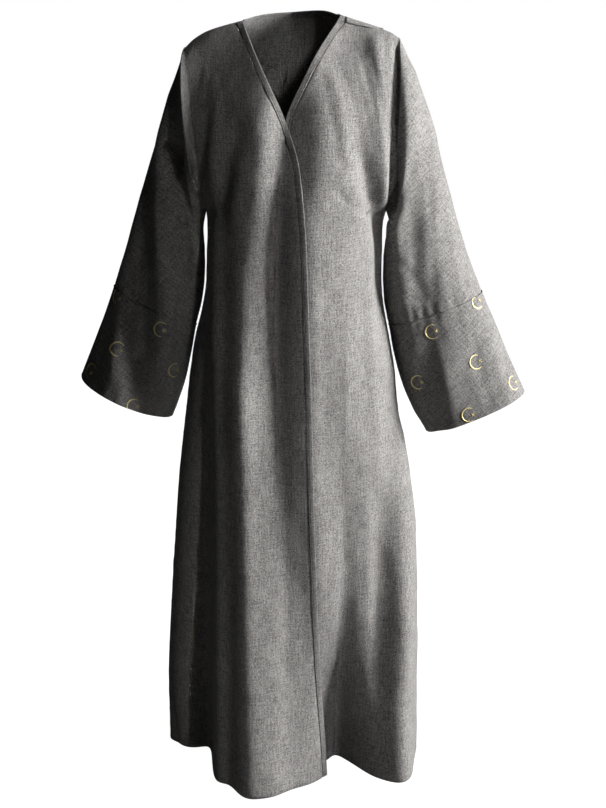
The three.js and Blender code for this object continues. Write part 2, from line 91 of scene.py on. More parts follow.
DEPTHS = table(
    "z front back",
    (20, 74, 88),
    (-80, 98, 98),
    (-165, 120, 104),
    (-255, 137, 102),
    (-350, 133, 98),
    (-480, 128, 99),
    (-640, 132, 111),
    (-850, 141, 128),
    (-1100, 153, 146),
    (-1300, 162, 158),
    (-1450, 168, 166),
)
SIDE_SEAMS = table(
    "z right left",
    (-342, 159, 174),
    (-365, 157, 168),
    (-410, 158, 167),
    (-480, 162, 167.5),
    (-530, 171, 173),
    (-580, 184, 183),
    (-640, 194, 194),
    (-700, 202, 200),
    (-850, 221, 218),
    (-1000, 234, 231),
    (-1200, 249, 243),
    (-1300, 254, 247),
    (-1450, 255, 247),
)
FRONT_EDGES = table(
    "z right left",
    (3, -91, 86),
    (-7, -87, 79),
    (-53, -67, 48),
    (-107, -42, 18),
    (-165, -14, -10),
    (-210, 3, -14),
    (-255, 14, -12),
    (-361, 24, -4),
    (-486, 29, 3),
    (-671, 35, 9),
    (-903, 41, 15),
    (-1195, 53, 27),
    (-1377, 67, 42),
    (-1450, 72, 47),
)
SHOULDER_SEAMS = table(
    "x right left",
    (86, -7, 3),
    (110, -12, -5),
    (152, -25, -18),
    (176, -39, -27),
    (190, -52, -36),
)
SLEEVE_COLUMNS = "top_x top_z under_x under_z middle_y front back"
RIGHT_SLEEVE = table(
    SLEEVE_COLUMNS,
    (190, -52, 159, -342, 0, 80, 74),
    (212, -110, 165, -372, 0, 72, 70),
    (235, -178, 165, -402, 8, 65, 65),
    (265, -265, 165, -437, 14, 60, 60),
    (293, -352, 166.5, -472, 19, 58, 57),
    (315, -422, 173, -517, 22, 58, 57),
    (337, -487, 184.5, -562, 20, 62, 58),
    (360, -549, 195, -618, 14, 71, 62),
    (383, -605, 209, -676, 7, 80, 66),
    (404, -656, 231, -734, 0, 89, 70),
)
LEFT_SLEEVE = table(
    SLEEVE_COLUMNS,
    (191, -36, 174, -342, 0, 80, 74),
    (221, -97, 180, -366, 0, 73, 70),
    (248, -160, 175, -398, 8, 66, 65),
    (276, -255, 172, -436, 14, 61, 60),
    (305, -354, 172, -474, 19, 59, 57),
    (330, -427, 175.5, -518, 22, 59, 57),
    (359, -498, 184.5, -562, 20, 60, 58),
    (388, -562, 195.5, -622, 14, 62, 62),
    (415, -624, 218, -692, 7, 64, 66),
    (445, -687, 258, -766, 0, 66, 70),
)
SLEEVE_SECTIONS = len(RIGHT_SLEEVE["top_x"])


class Side:
    """One side of the wearer, with the numbers of its cut."""

    def __init__(self, name, sign, neck_x, neck_z, bulge, sleeve):
        self.name = name
        self.sign = sign
        self.neck_x = neck_x
        self.neck_z = neck_z
        self.bulge = bulge
        self.sleeve = dict(sleeve, row=np.arange(SLEEVE_SECTIONS, dtype=float))


RIGHT = Side("right", -1, 87, -7, 14, RIGHT_SLEEVE)
LEFT = Side("left", 1, 86, 3, 8, LEFT_SLEEVE)

# Folds: a line from x0, z0 to x1, z1 with the rise and width at each end. A trough's rise is less
# than nothing. Bow moves the middle of the line sideways, and swell adds to the rise there.
FOLD_COLUMNS = "x0 z0 x1 z1 rise0 rise1 width0 width1 bow swell"
FRONT_FOLDS = table(
    FOLD_COLUMNS,
    # The wearer's right front
    (-68, -180, -92, -700, 6, 16, 40, 38, 0, 0),
    (-88, -700, -66, -1450, 14, 42, 38, 50, 0, 0),
    (-95, -260, -90, -1450, 4, 10, 18, 22, 0, 0),
    (-14, -180, -25, -860, -14, -3, 22, 30, 12, -14),
    (-158, -660, -204, -1450, -6, -86, 26, 38, 0, 0),
    (-134, -130, -150, -1450, 6, 14, 13, 18, 0, 0),
    (30, -960, 60, -1450, -4, -40, 40, 48, 0, 0),
    (-98, -215, -132, -330, -9, -11, 18, 20, 0, 0),
    # The wearer's left front
    (8, -110, 16, -240, -7, -13, 26, 30, 0, 0),
    (36, -260, 46, -1450, 9, 14, 30, 38, 0, 0),
    (116, -215, 146, -325, -5, -20, 14, 18, 0, 0),
    (148, -60, 172, -322, 8, 11, 16, 13, 0, 0),
    (188, -60, 184, -325, -13, -26, 9, 11, 0, 0),
    (160, -375, 164, -560, -12, -6, 12, 14, 0, 0),
    (96, -740, 112, -1450, -2, -56, 26, 40, 0, 6),
    (214, -780, 199, -1450, 14, 60, 24, 34, 0, 0),
    (166, -900, 172, -1240, -7, -14, 18, 24, 0, 0),
)
BACK_FOLDS = table(
    FOLD_COLUMNS,
    (0, -260, 0, -1450, -5, -36, 22, 40, 0, 0),
    (-72, -240, -84, -1450, 6, 34, 26, 36, 0, 0),
    (70, -260, 92, -1450, 6, 30, 26, 34, 0, 0),
    (-128, -520, -164, -1450, -5, -46, 20, 32, 0, 0),
    (130, -560, 170, -1450, -5, -42, 20, 32, 0, 0),
    (-100, -190, -146, -330, -9, -10, 14, 18, 0, 0),
    (102, -185, 152, -330, -10, -10, 14, 18, 0, 0),
)
SLEEVE_FRONT_FOLDS = table(
    FOLD_COLUMNS,
    (-206, -80, -212, -240, -8, -20, 13, 17, 0, 0),
    (-212, -240, -186, -345, -20, -10, 17, 14, 0, 0),
    (-240, -150, -243, -580, 12, 19, 13, 16, 0, 0),
    (-264, -260, -272, -600, -5, -9, 12, 16, 0, 0),
    (-288, -420, -296, -640, -9, -14, 16, 18, 0, 0),
    (-322, -470, -330, -610, 5, 6, 14, 16, 0, 0),
    (188, -60, 184, -325, -13, -26, 9, 11, 0, 0),
    (188, -345, 197, -500, 14, 7, 15, 16, 0, 0),
    (262, -200, 250, -420, 5, 5, 18, 20, 0, 0),
    (275, -460, 300, -690, 4, 6, 24, 28, 0, 0),
    (206, -440, 240, -720, 6, 8, 20, 24, 0, 0),
)
SLEEVE_BACK_FOLDS = table(
    FOLD_COLUMNS,
    (-208, -90, -204, -330, -7, -18, 10, 14, 0, 0),
    (-236, -250, -300, -660, -6, -13, 18, 24, 0, 0),
    (208, -80, 204, -330, -7, -18, 10, 14, 0, 0),
    (244, -250, 328, -680, -6, -13, 18, 24, 0, 0),
)

# Creases: finer folds that only the cloth has, placed where the robe shows them, and like ones on
# the sides that it hides.
FRONT_CREASES = table(
    FOLD_COLUMNS,
    # Chest and armhole, right
    (-112, -120, -150, -300, 1.3, 1.8, 8, 10, 6, 0),
    (-128, -110, -164, -290, -1.4, -1.9, 6, 8, 5, 0),
    (-150, -90, -176, -270, 1.6, 1.3, 6, 8, 3, 0),
    (-66, -230, -96, -420, -1.2, -1.0, 10, 14, 4, 0),
    # Chest and armhole, left
    (58, -120, 78, -230, -1.2, -1.6, 8, 10, -3, 0),
    (70, -100, 98, -240, 1.3, 1.4, 8, 10, -4, 0),
    (96, -110, 132, -260, -1.4, -2.0, 7, 9, -5, 0),
    (118, -90, 150, -240, 1.4, 1.7, 6, 8, -4, 0),
    (142, -80, 168, -230, -1.6, -1.8, 6, 7, -3, 0),
    (84, -300, 150, -346, -1.8, -2.7, 7, 8, 6, 0),
    # Skirt, right
    (-40, -420, -52, -900, 1.2, 1.3, 12, 16, 3, 0),
    (-64, -520, -66, -1180, -1.1, -1.8, 10, 14, -4, 0),
    (-136, -620, -150, -1200, 1.4, 2.4, 10, 14, 5, 0),
    (-178, -760, -226, -1450, 1.2, 4.2, 10, 16, 4, 0),
    (-104, -880, -120, -1450, -1.0, -2.4, 10, 14, 3, 0),
    (-30, -900, -34, -1450, 1.0, 2.4, 12, 16, -3, 0),
    (-2, -560, 8, -1200, 1.3, 1.6, 10, 14, 2, 0),
    # Skirt, left
    (52, -420, 60, -860, -1.2, -1.4, 10, 14, -3, 0),
    (128, -420, 140, -760, -1.8, -1.3, 10, 14, 4, 0),
    (146, -560, 176, -1100, 1.6, 1.9, 10, 14, -4, 0),
    (88, -900, 84, -1450, 1.2, 3.6, 10, 14, 4, 0),
    (132, -900, 140, -1450, -1.2, -3.6, 9, 13, -3, 0),
    (176, -1000, 226, -1450, -1.2, -3.6, 9, 13, 3, 0),
    (100, -560, 112, -980, 1.3, 1.2, 9, 12, 4, 0),
)
BACK_CREASES = table(
    FOLD_COLUMNS,
    (-30, -120, -52, -380, -2.2, -1.8, 12, 16, 4, 0),
    (34, -110, 50, -400, -2.0, -1.8, 12, 16, -4, 0),
    (-84, -130, -128, -300, 2.6, 3.0, 8, 10, 5, 0),
    (90, -120, 134, -300, 2.6, 3.0, 8, 10, -5, 0),
    (-118, -100, -158, -290, -2.6, -3.2, 7, 9, 4, 0),
    (122, -95, 162, -280, -2.6, -3.0, 7, 9, -4, 0),
    (-36, -460, -40, -1450, 2.0, 7.0, 12, 18, 4, 0),
    (40, -480, 46, -1450, 2.0, 6.0, 12, 18, -4, 0),
    (-112, -600, -124, -1450, 2.0, 6.0, 10, 15, 3, 0),
    (112, -620, 130, -1450, 2.2, 6.0, 10, 15, -3, 0),
    (-150, -420, -176, -900, 2.4, 3.0, 9, 12, 4, 0),
    (150, -430, 178, -900, 2.4, 3.0, 9, 12, -4, 0),
    (-196, -900, -226, -1450, 2.0, 6.0, 9, 14, 3, 0),
    (198, -880, 222, -1450, 2.0, 6.0, 9, 14, -3, 0),
    (-58, -700, -62, -1300, -2.0, -4.0, 9, 13, -3, 0),
    (64, -720, 70, -1320, -2.0, -4.0, 9, 13, 3, 0),
    (-20, -240, 30, -300, -1.4, -1.4, 9, 9, 3, 0),
    (-70, -360, 60, -392, -1.4, -1.2, 10, 10, 5, 0),
)
SLEEVE_FRONT_CREASES = table(
    FOLD_COLUMNS,
    # Right sleeve
    (-222, -120, -240, -330, 3.0, 3.4, 8, 10, -5, 0),
    (-240, -180, -262, -420, -2.6, -3.4, 8, 10, 5, 0),
    (-196, -330, -206, -560, -3.6, -3.0, 8, 10, 4, 0),
    (-248, -330, -262, -560, 3.2, 3.6, 9, 11, 4, 0),
    (-280, -360, -318, -600, -2.6, -3.2, 9, 11, -5, 0),
    (-214, -560, -232, -700, 3.0, 4.0, 9, 12, 3, 0),
    (-290, -560, -322, -690, 3.0, 4.0, 10, 12, -4, 0),
    (-346, -560, -366, -670, -2.6, -3.0, 9, 11, 3, 0),
    (-200, -420, -258, -470, -3.0, -2.0, 7, 9, 5, 0),
    # Left sleeve
    (222, -80, 226, -260, 1.5, 2.0, 7, 9, 5, 0),
    (236, -130, 250, -330, -1.3, -1.7, 8, 10, -4, 0),
    (206, -330, 212, -520, 1.7, 1.7, 8, 10, -4, 0),
    (252, -300, 268, -520, -1.3, -1.8, 8, 10, 4, 0),
    (288, -330, 330, -560, 1.3, 1.8, 10, 12, 5, 0),
    (196, -430, 246, -500, -1.4, -1.0, 7, 9, -5, 0),
    (262, -560, 300, -730, 1.5, 2.3, 10, 12, -4, 0),
    (330, -540, 372, -700, -1.3, -1.9, 10, 12, 4, 0),
    (236, -620, 276, -745, -1.5, -2.2, 8, 11, 3, 0),
    (370, -560, 406, -690, 1.2, 1.7, 9, 11, 3, 0),
)
SLEEVE_BACK_CREASES = table(
    FOLD_COLUMNS,
    (-218, -120, -236, -330, 3.0, 3.2, 8, 10, -4, 0),
    (-206, -340, -226, -560, -3.2, -3.0, 8, 10, 4, 0),
    (-256, -300, -300, -560, 3.0, 3.2, 9, 12, -5, 0),
    (-300, -430, -350, -640, -2.6, -3.2, 9, 12, 4, 0),
    (-240, -560, -262, -710, 3.0, 4.0, 9, 12, 3, 0),
    (220, -110, 236, -330, 3.0, 3.2, 8, 10, 4, 0),
    (206, -340, 226, -560, -3.2, -3.0, 8, 10, -4, 0),
    (262, -300, 312, -560, 3.0, 3.2, 9, 12, 5, 0),
    (306, -430, 366, -650, -2.6, -3.2, 9, 12, -4, 0),
    (262, -600, 292, -740, 3.0, 4.0, 9, 12, -3, 0),
)

# Slow unevenness of hung cloth: height, waves across and along each metre, and phase.
UNEVENNESS = table(
    "height across along phase",
    (0.55, 7.1, 2.3, 0.4),
    (0.45, -5.3, 4.1, 2.1),
    (0.35, 12.7, -6.2, 4.4),
    (0.25, 17.9, 9.4, 1.3),
    (0.18, -23.0, 15.0, 3.3),
)

# Seams: how the sewing draws the cloth in beside them, and the waves that it leaves. The cuff's edge
# stands out a little over the sleeve that it is sewn to.
SIDE_SINK = {"rise": -1.1, "width": 2.6}
BAND_SINK = {"rise": -1.7, "width": 2.4}
SLEEVE_END_SINK = {"rise": -2.0, "width": 3.2}
CUFF_EDGE = {"rise": 1.3, "width": 1.9}
PUCKER = {"rise": 0.45, "length": 34, "reach": 14}
CUFF_PUCKER = {"rise": 2.1, "length": 17, "reach": 21}
CUFF_PUCKER_BELOW = {"rise": 0.8, "length": 17, "reach": 18}

# What keeps the puckers uneven: their phase drifts and their height swells along the seam
PUCKER_DRIFT = {"phase": 2.1, "length": 37}
PUCKER_SWELL = {"middle": 0.6, "rise": 0.4, "length": 53, "phase": 1}

# Turned hems: how far under the turned edge its step begins and how far over it ends, how far the rolled
# edge reaches, how much fuller the roll is, and what the second layer adds
HEM_TURN = {"begin": 1.2, "end": 0.4, "roll": 1.5, "fuller": 0.5, "layer": 0.9}
HEM_STITCH_DROP = 2

# Bands, with places and widths as shares of the band's width: the rounded fold, the groove that the
# stitches press in, and the seam to the panel. Their grid's steps across, the one with the stitches,
# and how far the panel goes on under the band
BAND_FOLD = {"width": 0.16, "edge": 0.25}
BAND_GROOVE = {"depth": 0.45, "width": 0.06}
BAND_SEAM = {"start": 0.92, "loss": 0.7}
BAND_STEPS = 24
STITCHED_AT = 18
UNDER_BAND = 0.6

# The back turns over the wearer's left shoulder and laps the front there, up to where it fades out.
LAP = {"reach": 21, "lift": 1.2, "edge_lift": 2.1, "fade_from": 138, "fade_to": 170}
LAP_ROWS = 8
LAP_SHORTEST = 1.5
LAP_SLACK = 0.01

# Grid of the cloth. A panel has the body's rows first, then those of the chest and the upper sleeve,
# the first of which crowd together at the underarm.
BODY_COLUMNS = 92
BODY_ROWS = 150
CHEST_ROWS = 78
NECK_COLUMNS = 34
BACK_COLUMNS = 68
SLEEVE_GRID_COLUMNS = 86
SLEEVE_CROWDING = 1.3
CUFF_RINGS = 72
CUFF_SEGMENTS = 168
ARC_STEPS = 25
UPPER = slice(BODY_ROWS, BODY_ROWS + CHEST_ROWS + 1)
CROWDED = slice(BODY_ROWS, BODY_ROWS + 6)

# A depth that is on a seam, and one that has no seam near
ON_SEAM = 1e-3
FAR = 1e3

# Shares of a front's width, of an upper sleeve's length and of a cuff's length where the grid has
# extra lines, close to a seam
BESIDE_BAND = (0, 0.0016, 0.0036, 0.0065, 0.0105)
BEFORE_CUFF = (0.992, 0.996, 0.9985, 1)
BELOW_CUFF_SEAM = (0, 0.0025, 0.006, 0.011, 0.018)

# The lean of the warp on a hanging sleeve and on its cuff, in degrees outward from upright
SLEEVE_LEAN = 44
CUFF_LEAN = 44

# Each cuff's embroidered motifs: section of the sleeve, degrees round from the seam under the arm
# to the one on top, and the way that the crescent's mouth points, in degrees above level.
MOTIF_COLUMNS = "section round mouth"
MOTIFS = {
    "left": {
        "front": table(
            MOTIF_COLUMNS,
            (6.39, 74.5, 17),
            (6.10, 161, 20),
            (7.57, 118.5, 17),
            (7.68, 38, 4),
            (8.80, 83, 6),
            (8.55, 167, 8),
        ),
        "back": table(
            MOTIF_COLUMNS,
            (6.42, 58, 12),
            (6.45, 128, 16),
            (7.50, 96, 14),
            (7.55, 22, 8),
            (8.70, 62, 6),
            (8.62, 128, 10),
        ),
    },
    "right": {
        "front": table(
            MOTIF_COLUMNS,
            (6.32, 75, -18),
            (6.11, 162, -28),
            (7.29, 115, -33),
            (8.49, 165, -30),
            (7.42, 27, -5),
            (8.70, 73.5, -6),
        ),
        "back": table(
            MOTIF_COLUMNS,
            (6.42, 60, -12),
            (6.45, 126, -16),
            (7.50, 94, -14),
            (7.55, 24, -8),
            (8.70, 60, -6),
            (8.62, 126, -10),
        ),
    },
}

# One motif, in shares of the crescent's outer radius: widths and heights are given at the tips and in
# the middle of the crescent, and at the root and the end of the star's rays.
CRESCENT = {
    "opening": 54,
    "steps": 56,
    "ribs": 6,
    "fullness": 0.6,
    "half_width": (0.018, 0.1),
    "height": (0.02, 0.075),
    "satin": 0.16,
}
STAR = {
    "rays": 6,
    "steps": 8,
    "ribs": 4,
    "radius": 0.34,
    "centre": 0.55,
    "turn": 0.03,
    "half_width": (0.11, 0.05),
    "height": 0.2,
    "taper": 0.4,
}

# In metres: how far off the cloth the rays start that lay a motif on it, how high a motif lies, and the
# width of a stitch. In millimetres: how far out of the folds a motif's place is sought.
CAST = 0.04
MOTIF_LIFT = 0.0001
STITCH_WIDTH = 0.0006
CLEAR_OF_FOLDS = 30

# A stitch's length as a share of the step from one to the next, and its height as one of its width
STITCH_FILL = 0.78
STITCH_HEIGHT = 0.7

# Noises of the weave and of the thread's strands: scales across, along and through, detail and roughness
WARP_FLECKS = ((760, 240, 1), 3.0, 0.65)
WEFT_FLECKS = ((240, 760, 1), 3.0, 0.65)
SLUBS = ((330, 42, 1), 3.0, 0.6)
CROSS_SLUBS = ((40, 420, 1), 2.0, 0.5)
CLOUDS = ((22, 12, 1), 3.0, 0.5)
STRANDS = ((3200, 260, 1), 2.0, 0.6)

# What each gives to the cloth's tone and to its relief
TONE_PARTS = {"flecks": 0.66, "slubs": 0.20, "cross slubs": 0.14}
RELIEF_PARTS = {"crossing": 0.22, "slubs": 0.9, "flecks": 0.6, "cross slubs": 0.5}

# Ranges that a value is taken from, with those that it is brought to where that isn't 0 to 1
CROSSING_RANGE = (-0.25, 0.25)
TONE_RANGE = (0.385, 0.62)
CLOUD_RANGE = (0.3, 0.7, -0.04, 0.04)
MATTNESS_RANGE = (0.3, 0.7, 0.95, 0.8)
STRAND_RANGE = (0.3, 0.62)

CLOTH_LOOK = {"Sheen Weight": 0.12, "Sheen Roughness": 0.5, "Specular IOR Level": 0.25}
CLOTH_RELIEF = {"Strength": 0.55, "Distance": 0.0009}
THREAD_RELIEF = {"Strength": 0.6, "Distance": 0.0003}
THREAD_SHEEN = 0.2
THREAD_DARK = 0.45
THREAD_GLOSS = {"low": 0.3, "high": 0.7, "rougher": 0.12, "smoother": 0.05}
GOLD = {"metal": 0.35, "roughness": 0.42}
SEWING = {"metal": 0.0, "roughness": 0.7}
CUFF_SHADE = 0.94
BAND_SHADE = 0.8

# The studio, in metres and degrees
FLOOR_SIZE = 30
FLOOR_GREY = 0.16
FLOOR_ROUGHNESS = 0.9
WORLD_LIGHT = 0.004
LAMPS = {
    "key": {"place": (3.27, -0.64, 0.5), "size": (1.3, 1.3), "spread": 180},
    "fill": {"place": (1.45, -2.5, 1.0), "size": (0.2, 1.6), "spread": 12},
}
LAMP_TARGET = (0, 0, -0.68)
CAMERA_PLACE = (0.02, -2.4, -0.05)
CAMERA_DOWN = 15.5


def ease(at, low, high):
    """Smooth step from nothing at low to one at high."""
    share = np.clip((at - low) / (high - low), 0, 1)
    return share * share * (3 - 2 * share)


def mix(low, high, share):
    """A value between two others."""
    return low + (high - low) * share


def read(rows, key, column, at):
    """A table's column at a key between its rows, on a smooth curve."""
    keys, values = rows[key], rows[column]
    if keys[0] > keys[-1]:
        keys, values = keys[::-1], values[::-1]
    at = np.clip(at, keys[0], keys[-1])
    count = np.arange(len(keys))
    low, high = np.maximum(count - 1, 0), np.minimum(count + 1, len(keys) - 1)
    slopes = (values[high] - values[low]) / (keys[high] - keys[low])
    row = np.clip(np.searchsorted(keys, at) - 1, 0, len(keys) - 2)
    span = keys[row + 1] - keys[row]
    share = (at - keys[row]) / span
    rest = 1 - share
    return (
        values[row] * (1 + 2 * share) * rest**2
        + slopes[row] * span * share * rest**2
        + values[row + 1] * share**2 * (3 - 2 * share)
        - slopes[row + 1] * span * share**2 * rest
    )


# Where the cloth lies


def level(right_z, left_z, x, half):
    """A height between the right side's and the left's, at x across a half width."""
    return mix(right_z, left_z, (1 + np.clip(x / half, -1, 1)) / 2)


def shoulder_z(side, out):
    """Height of the shoulder seam."""
    return read(SHOULDER_SEAMS, "x", side.name, out)


def ridge_z(side, out):
    """The shoulder's ridge, which carries on up the neck inside the neckline."""
    within = side.neck_x - np.abs(out)
    neck = level(RIGHT.neck_z, LEFT.neck_z, side.sign * out, side.neck_x) + within * NECK_SLOPE
    return np.where(within > 0, neck, shoulder_z(side, out))


def band_corner(side):
    """How far out the neck band's lower edge meets the shoulder seam."""
    return side.neck_x + BAND_WIDTH


def back_top_z(side, out):
    """Height of the back's top: the neck band's lower edge, then the shoulder seam."""
    corner = band_corner(side)
    ends = [shoulder_z(each, band_corner(each)) for each in (RIGHT, LEFT)]
    rise = NAPE_RISE - BAND_WIDTH + NECK_DROP
    share = np.clip(out / corner, 0, 1)
    neck = level(*ends, side.sign * out, corner) + rise * (1 - share**NECK_SQUARENESS)
    return np.where(out >= corner, shoulder_z(side, out), neck)


def torso_depth(side, face, out, z):
    """Depth of the torso at a place, rounded in towards the shoulder."""
    below = ridge_z(side, out) - z
    short = 1 - np.clip(below / SHOULDER_ROUND[face], 0, 1)
    return read(DEPTHS, "z", face, np.minimum(z, NECK_TOP_Z)) * np.sqrt(1 - short**2)


def climb_of(turn):
    """Share of the height at a turn from the lowest point to the highest."""
    return (1 + np.sin(turn)) / 2


def chest_half(side, turn):
    """Half width of the chest, from the underarm to the shoulder's end."""
    return mix(side.sleeve["under_x"][0], side.sleeve["top_x"][0], climb_of(turn))


def armhole_out(side, turn):
    """How far out the line lies where the sleeve begins."""
    return chest_half(side, turn) + side.bulge * np.cos(turn)


def chest_depth(side, face, turn, out, z):
    """Depth of the chest, which runs into the sleeve's own at the armhole."""
    share = np.clip(out / chest_half(side, turn), -1, 1)
    torso = torso_depth(side, face, out, z) * np.sqrt(1 - share**2)
    reach = np.abs(out / armhole_out(side, turn)) ** ARMHOLE_SHARPNESS
    return np.hypot(torso, side.sleeve[face][0] * np.cos(turn) * reach)


class Places:
    """Places on the cloth: x, the seams' own y, z, depth from those seams, and share of sleeve."""

    def __init__(self, side, face, out, middle, z, depth, sleeve=0.0):
        self.face = face
        self.x, self.middle, self.z, self.depth, self.sleeve = np.broadcast_arrays(
            side.sign * out, middle, z, depth, sleeve
        )

    def joined(self, *others):
        """These places with others beside them."""
        for name in ("x", "middle", "z", "depth", "sleeve"):
            parts = [getattr(each, name) for each in (self, *others)]
            setattr(self, name, np.concatenate(parts, axis=1))
        return self

    def points(self):
        way = -1 if self.face == "front" else 1
        return np.stack([self.x, self.middle + way * self.depth, self.z], axis=-1)


def body_places(side, face, z, out):
    """Places below the underarm, with the hem lifted towards the sides."""
    share = np.clip(out / read(SIDE_SEAMS, "z", side.name, z), -1, 1)
    depth = read(DEPTHS, "z", face, z) * np.sqrt(1 - share**2)
    lift = HEM_SIDE_LIFT * share**4 * ease(UNDERARM_Z - z, HEM_LIFT_START, UNDERARM_Z - HEM_Z)
    return Places(side, face, out, 0, z + lift, depth)


def chest_places(side, face, turn, out):
    """Places from the underarm up to the shoulder seam or the back neck."""
    flat = np.maximum(out, side.neck_x)
    top = back_top_z(side, out) if face == "back" else shoulder_z(side, flat)
    z = UNDERARM_Z + (top - UNDERARM_Z) * climb_of(turn)
    return Places(side, face, out, 0, z, chest_depth(side, face, turn, out, z))


def sleeve_places(side, face, at, turn):
    """Places on a sleeve, by section, and by turn from the seam under the arm to the one on top."""
    section = {name: read(side.sleeve, "row", name, at) for name in SLEEVE_COLUMNS.split()}
    climb = climb_of(turn)
    bulge = side.bulge * np.cos(turn) * (1 - ease(at, 0, ARMHOLE_BULGE_SECTIONS))
    out = mix(section["under_x"], section["top_x"], climb) + bulge
    z = mix(section["under_z"], section["top_z"], climb)
    depth = section[face] * np.cos(turn)
    return Places(side, face, out, section["middle_y"], z, depth, ease(at, 0, SLEEVE_FOLDS_START))


def fold_rise(folds, x, z):
    """Rise of a whole table of folds at x, z."""
    total = np.zeros_like(x, dtype=float)
    for fold in zip(*(folds[name] for name in FOLD_COLUMNS.split())):
        x0, z0, x1, z1, rise0, rise1, width0, width1, bow, swell = fold
        length = math.hypot(x1 - x0, z1 - z0)
        dx, dz = (x1 - x0) / length, (z1 - z0) / length
        along = (x - x0) * dx + (z - z0) * dz
        share = np.clip(along / length, 0, 1)
        middle = 4 * share * (1 - share)
        across = (x - x0) * dz - (z - z0) * dx - bow * middle
        past = np.maximum(0, np.maximum(-along, along - length))
        width = mix(width0, width1, share)
        end = np.exp(-((past / (FOLD_FADE * width)) ** 2))
        rise = mix(rise0, rise1, share) + swell * middle
        total += rise * np.exp(-((across / width) ** 2)) * end
    return total


FOLDS = {
    "front": (FRONT_FOLDS, SLEEVE_FRONT_FOLDS, FRONT_CREASES, SLEEVE_FRONT_CREASES),
    "back": (BACK_FOLDS, SLEEVE_BACK_FOLDS, BACK_CREASES, SLEEVE_BACK_CREASES),
}


def unevenness(x, z):
    """Rise of the slow waves at x, z."""
    total = 0
    for height, across, along, phase in zip(*UNEVENNESS.values()):
        total = total + height * np.sin(2 * math.pi * (across * x + along * z) * MM + phase)
    return total


def folds_at(places):
    """Rise of all folds, creases and waves, calmed beside the side and shoulder seams."""
    body, sleeve, body_fine, sleeve_fine = FOLDS[places.face]
    x, z, on_sleeve = places.x, places.z, places.sleeve
    large = mix(fold_rise(body, x, z), fold_rise(sleeve, x, z), on_sleeve)
    fine = mix(fold_rise(body_fine, x, z), fold_rise(sleeve_fine, x, z), on_sleeve)
    fine = fine + unevenness(x, z)
    return large * ease(places.depth, 0, SEAM_CALM) + fine * ease(places.depth, 0, CREASE_CALM)


def setback(side, places):
    """How far the left front lies under the right one."""
    if side is RIGHT or places.face == "back":
        return np.zeros_like(places.x)
    out = places.x - read(FRONT_EDGES, "z", "left", places.z)
    drop = ease(PARTING["start_z"] - places.z, 0, PARTING["start_z"] - HEM_Z)
    laps = [row["setback"] * (1 - ease(out, row["near"], row["far"])) for row in (UNDER, PARTING)]
    return (laps[0] + laps[1] * drop) * ease(places.depth, 0, SEAM_CALM)


# Cloth as a grid of points


def unit(vectors):
    """Vectors made one long."""
    return vectors / np.maximum(np.linalg.norm(vectors, axis=-1, keepdims=True), TINY)


class Grid:
    """A grid of cloth points, some of which may not be there, with a flat place for each.

    A turn of the grain is a column with other flat places for the faces past it.
    """

    def __init__(self, points, flat, flip, there=None, closed=False, crowded=None, grain_turn=None):
        self.points = points
        self.flat = flat
        self.flip = flip
        self.there = np.ones(points.shape[:2], bool) if there is None else there
        self.closed = closed
        self.crowded = crowded
        self.grain_turn = grain_turn

    def step(self, axis):
        """The way along one axis at each point, from the point before it to the one after."""
        if axis == 1 and self.closed:
            return np.roll(self.points, -1, 1) - np.roll(self.points, 1, 1)
        ahead = np.diff(np.where(self.there[..., None], self.points, np.nan), axis=axis)
        pads = [[(0, 0)] * 3, [(0, 0)] * 3]
        pads[0][axis], pads[1][axis] = (1, 0), (0, 1)
        return np.nansum(np.stack([np.pad(ahead, pad, constant_values=np.nan) for pad in pads]), axis=0)

    def normals(self, seam=None):
        """Normals from the points beside each, flat in y along the seams between front and back.

        Rows that crowd together can't give their own, so these come from the rows round them.
        """
        normal = unit(np.cross(self.step(1), self.step(0)) * (-1 if self.flip else 1))
        if self.crowded:
            first, last = self.crowded.start - 1, self.crowded.stop
            share = np.linspace(0, 1, last - first + 1)[1:-1, None, None]
            between = mix(normal[first], normal[last], share)
            normal[self.crowded] = np.where(self.there[first, :, None], between, normal[self.crowded])
        if seam is not None:
            normal[seam, 1] = 0
        return unit(normal)

    def drape(self, rise, seam=None):
        """Moves the cloth by its folds, more to the front and back than sideways."""
        way = self.normals(seam)
        way[..., 0] *= FOLD_SIDEWAYS
        self.points = self.points + unit(way) * rise[..., None]
        return self


def flat_lengths(points, axis):
    """Length of cloth from the first point to each, along one way of the grid."""
    steps = np.linalg.norm(np.diff(points, axis=axis), axis=-1)
    pad = [(0, 0), (0, 0)]
    pad[axis] = (1, 0)
    return np.pad(np.cumsum(np.nan_to_num(steps), axis=axis), pad)


def new_piece(name, vertices, faces, flat_of):
    """A smooth mesh piece, with the flat place of each face corner from a function of its vertices."""
    mesh = bpy.data.meshes.new(name)
    mesh.from_pydata(vertices, [], faces)
    layer = mesh.uv_layers.new(name="cloth")
    loops = np.empty(len(mesh.loops), np.int32)
    mesh.loops.foreach_get("vertex_index", loops)
    layer.data.foreach_set("uv", flat_of(loops).astype(np.float32).ravel())
    mesh.polygons.foreach_set("use_smooth", np.ones(len(mesh.polygons), bool))
    mesh.update()
    piece = bpy.data.objects.new(name, mesh)
    bpy.context.collection.objects.link(piece)
    return piece


def closed_faces(quads, count):
    """Faces of a closed shell from its outer quads: the same inside, and sides round every rim."""
    inside = quads[:, ::-1] + count
    edges = np.concatenate([quads[:, [i, (i + 1) % 4]] for i in range(4)])
    codes = edges[:, 0] * count + edges[:, 1]
    back = edges[:, 1] * count + edges[:, 0]
    rim = edges[~np.isin(codes, back)]
    sides = np.stack([rim[:, 1], rim[:, 0], rim[:, 0] + count, rim[:, 1] + count], axis=-1)
    return np.concatenate([quads, inside, sides])


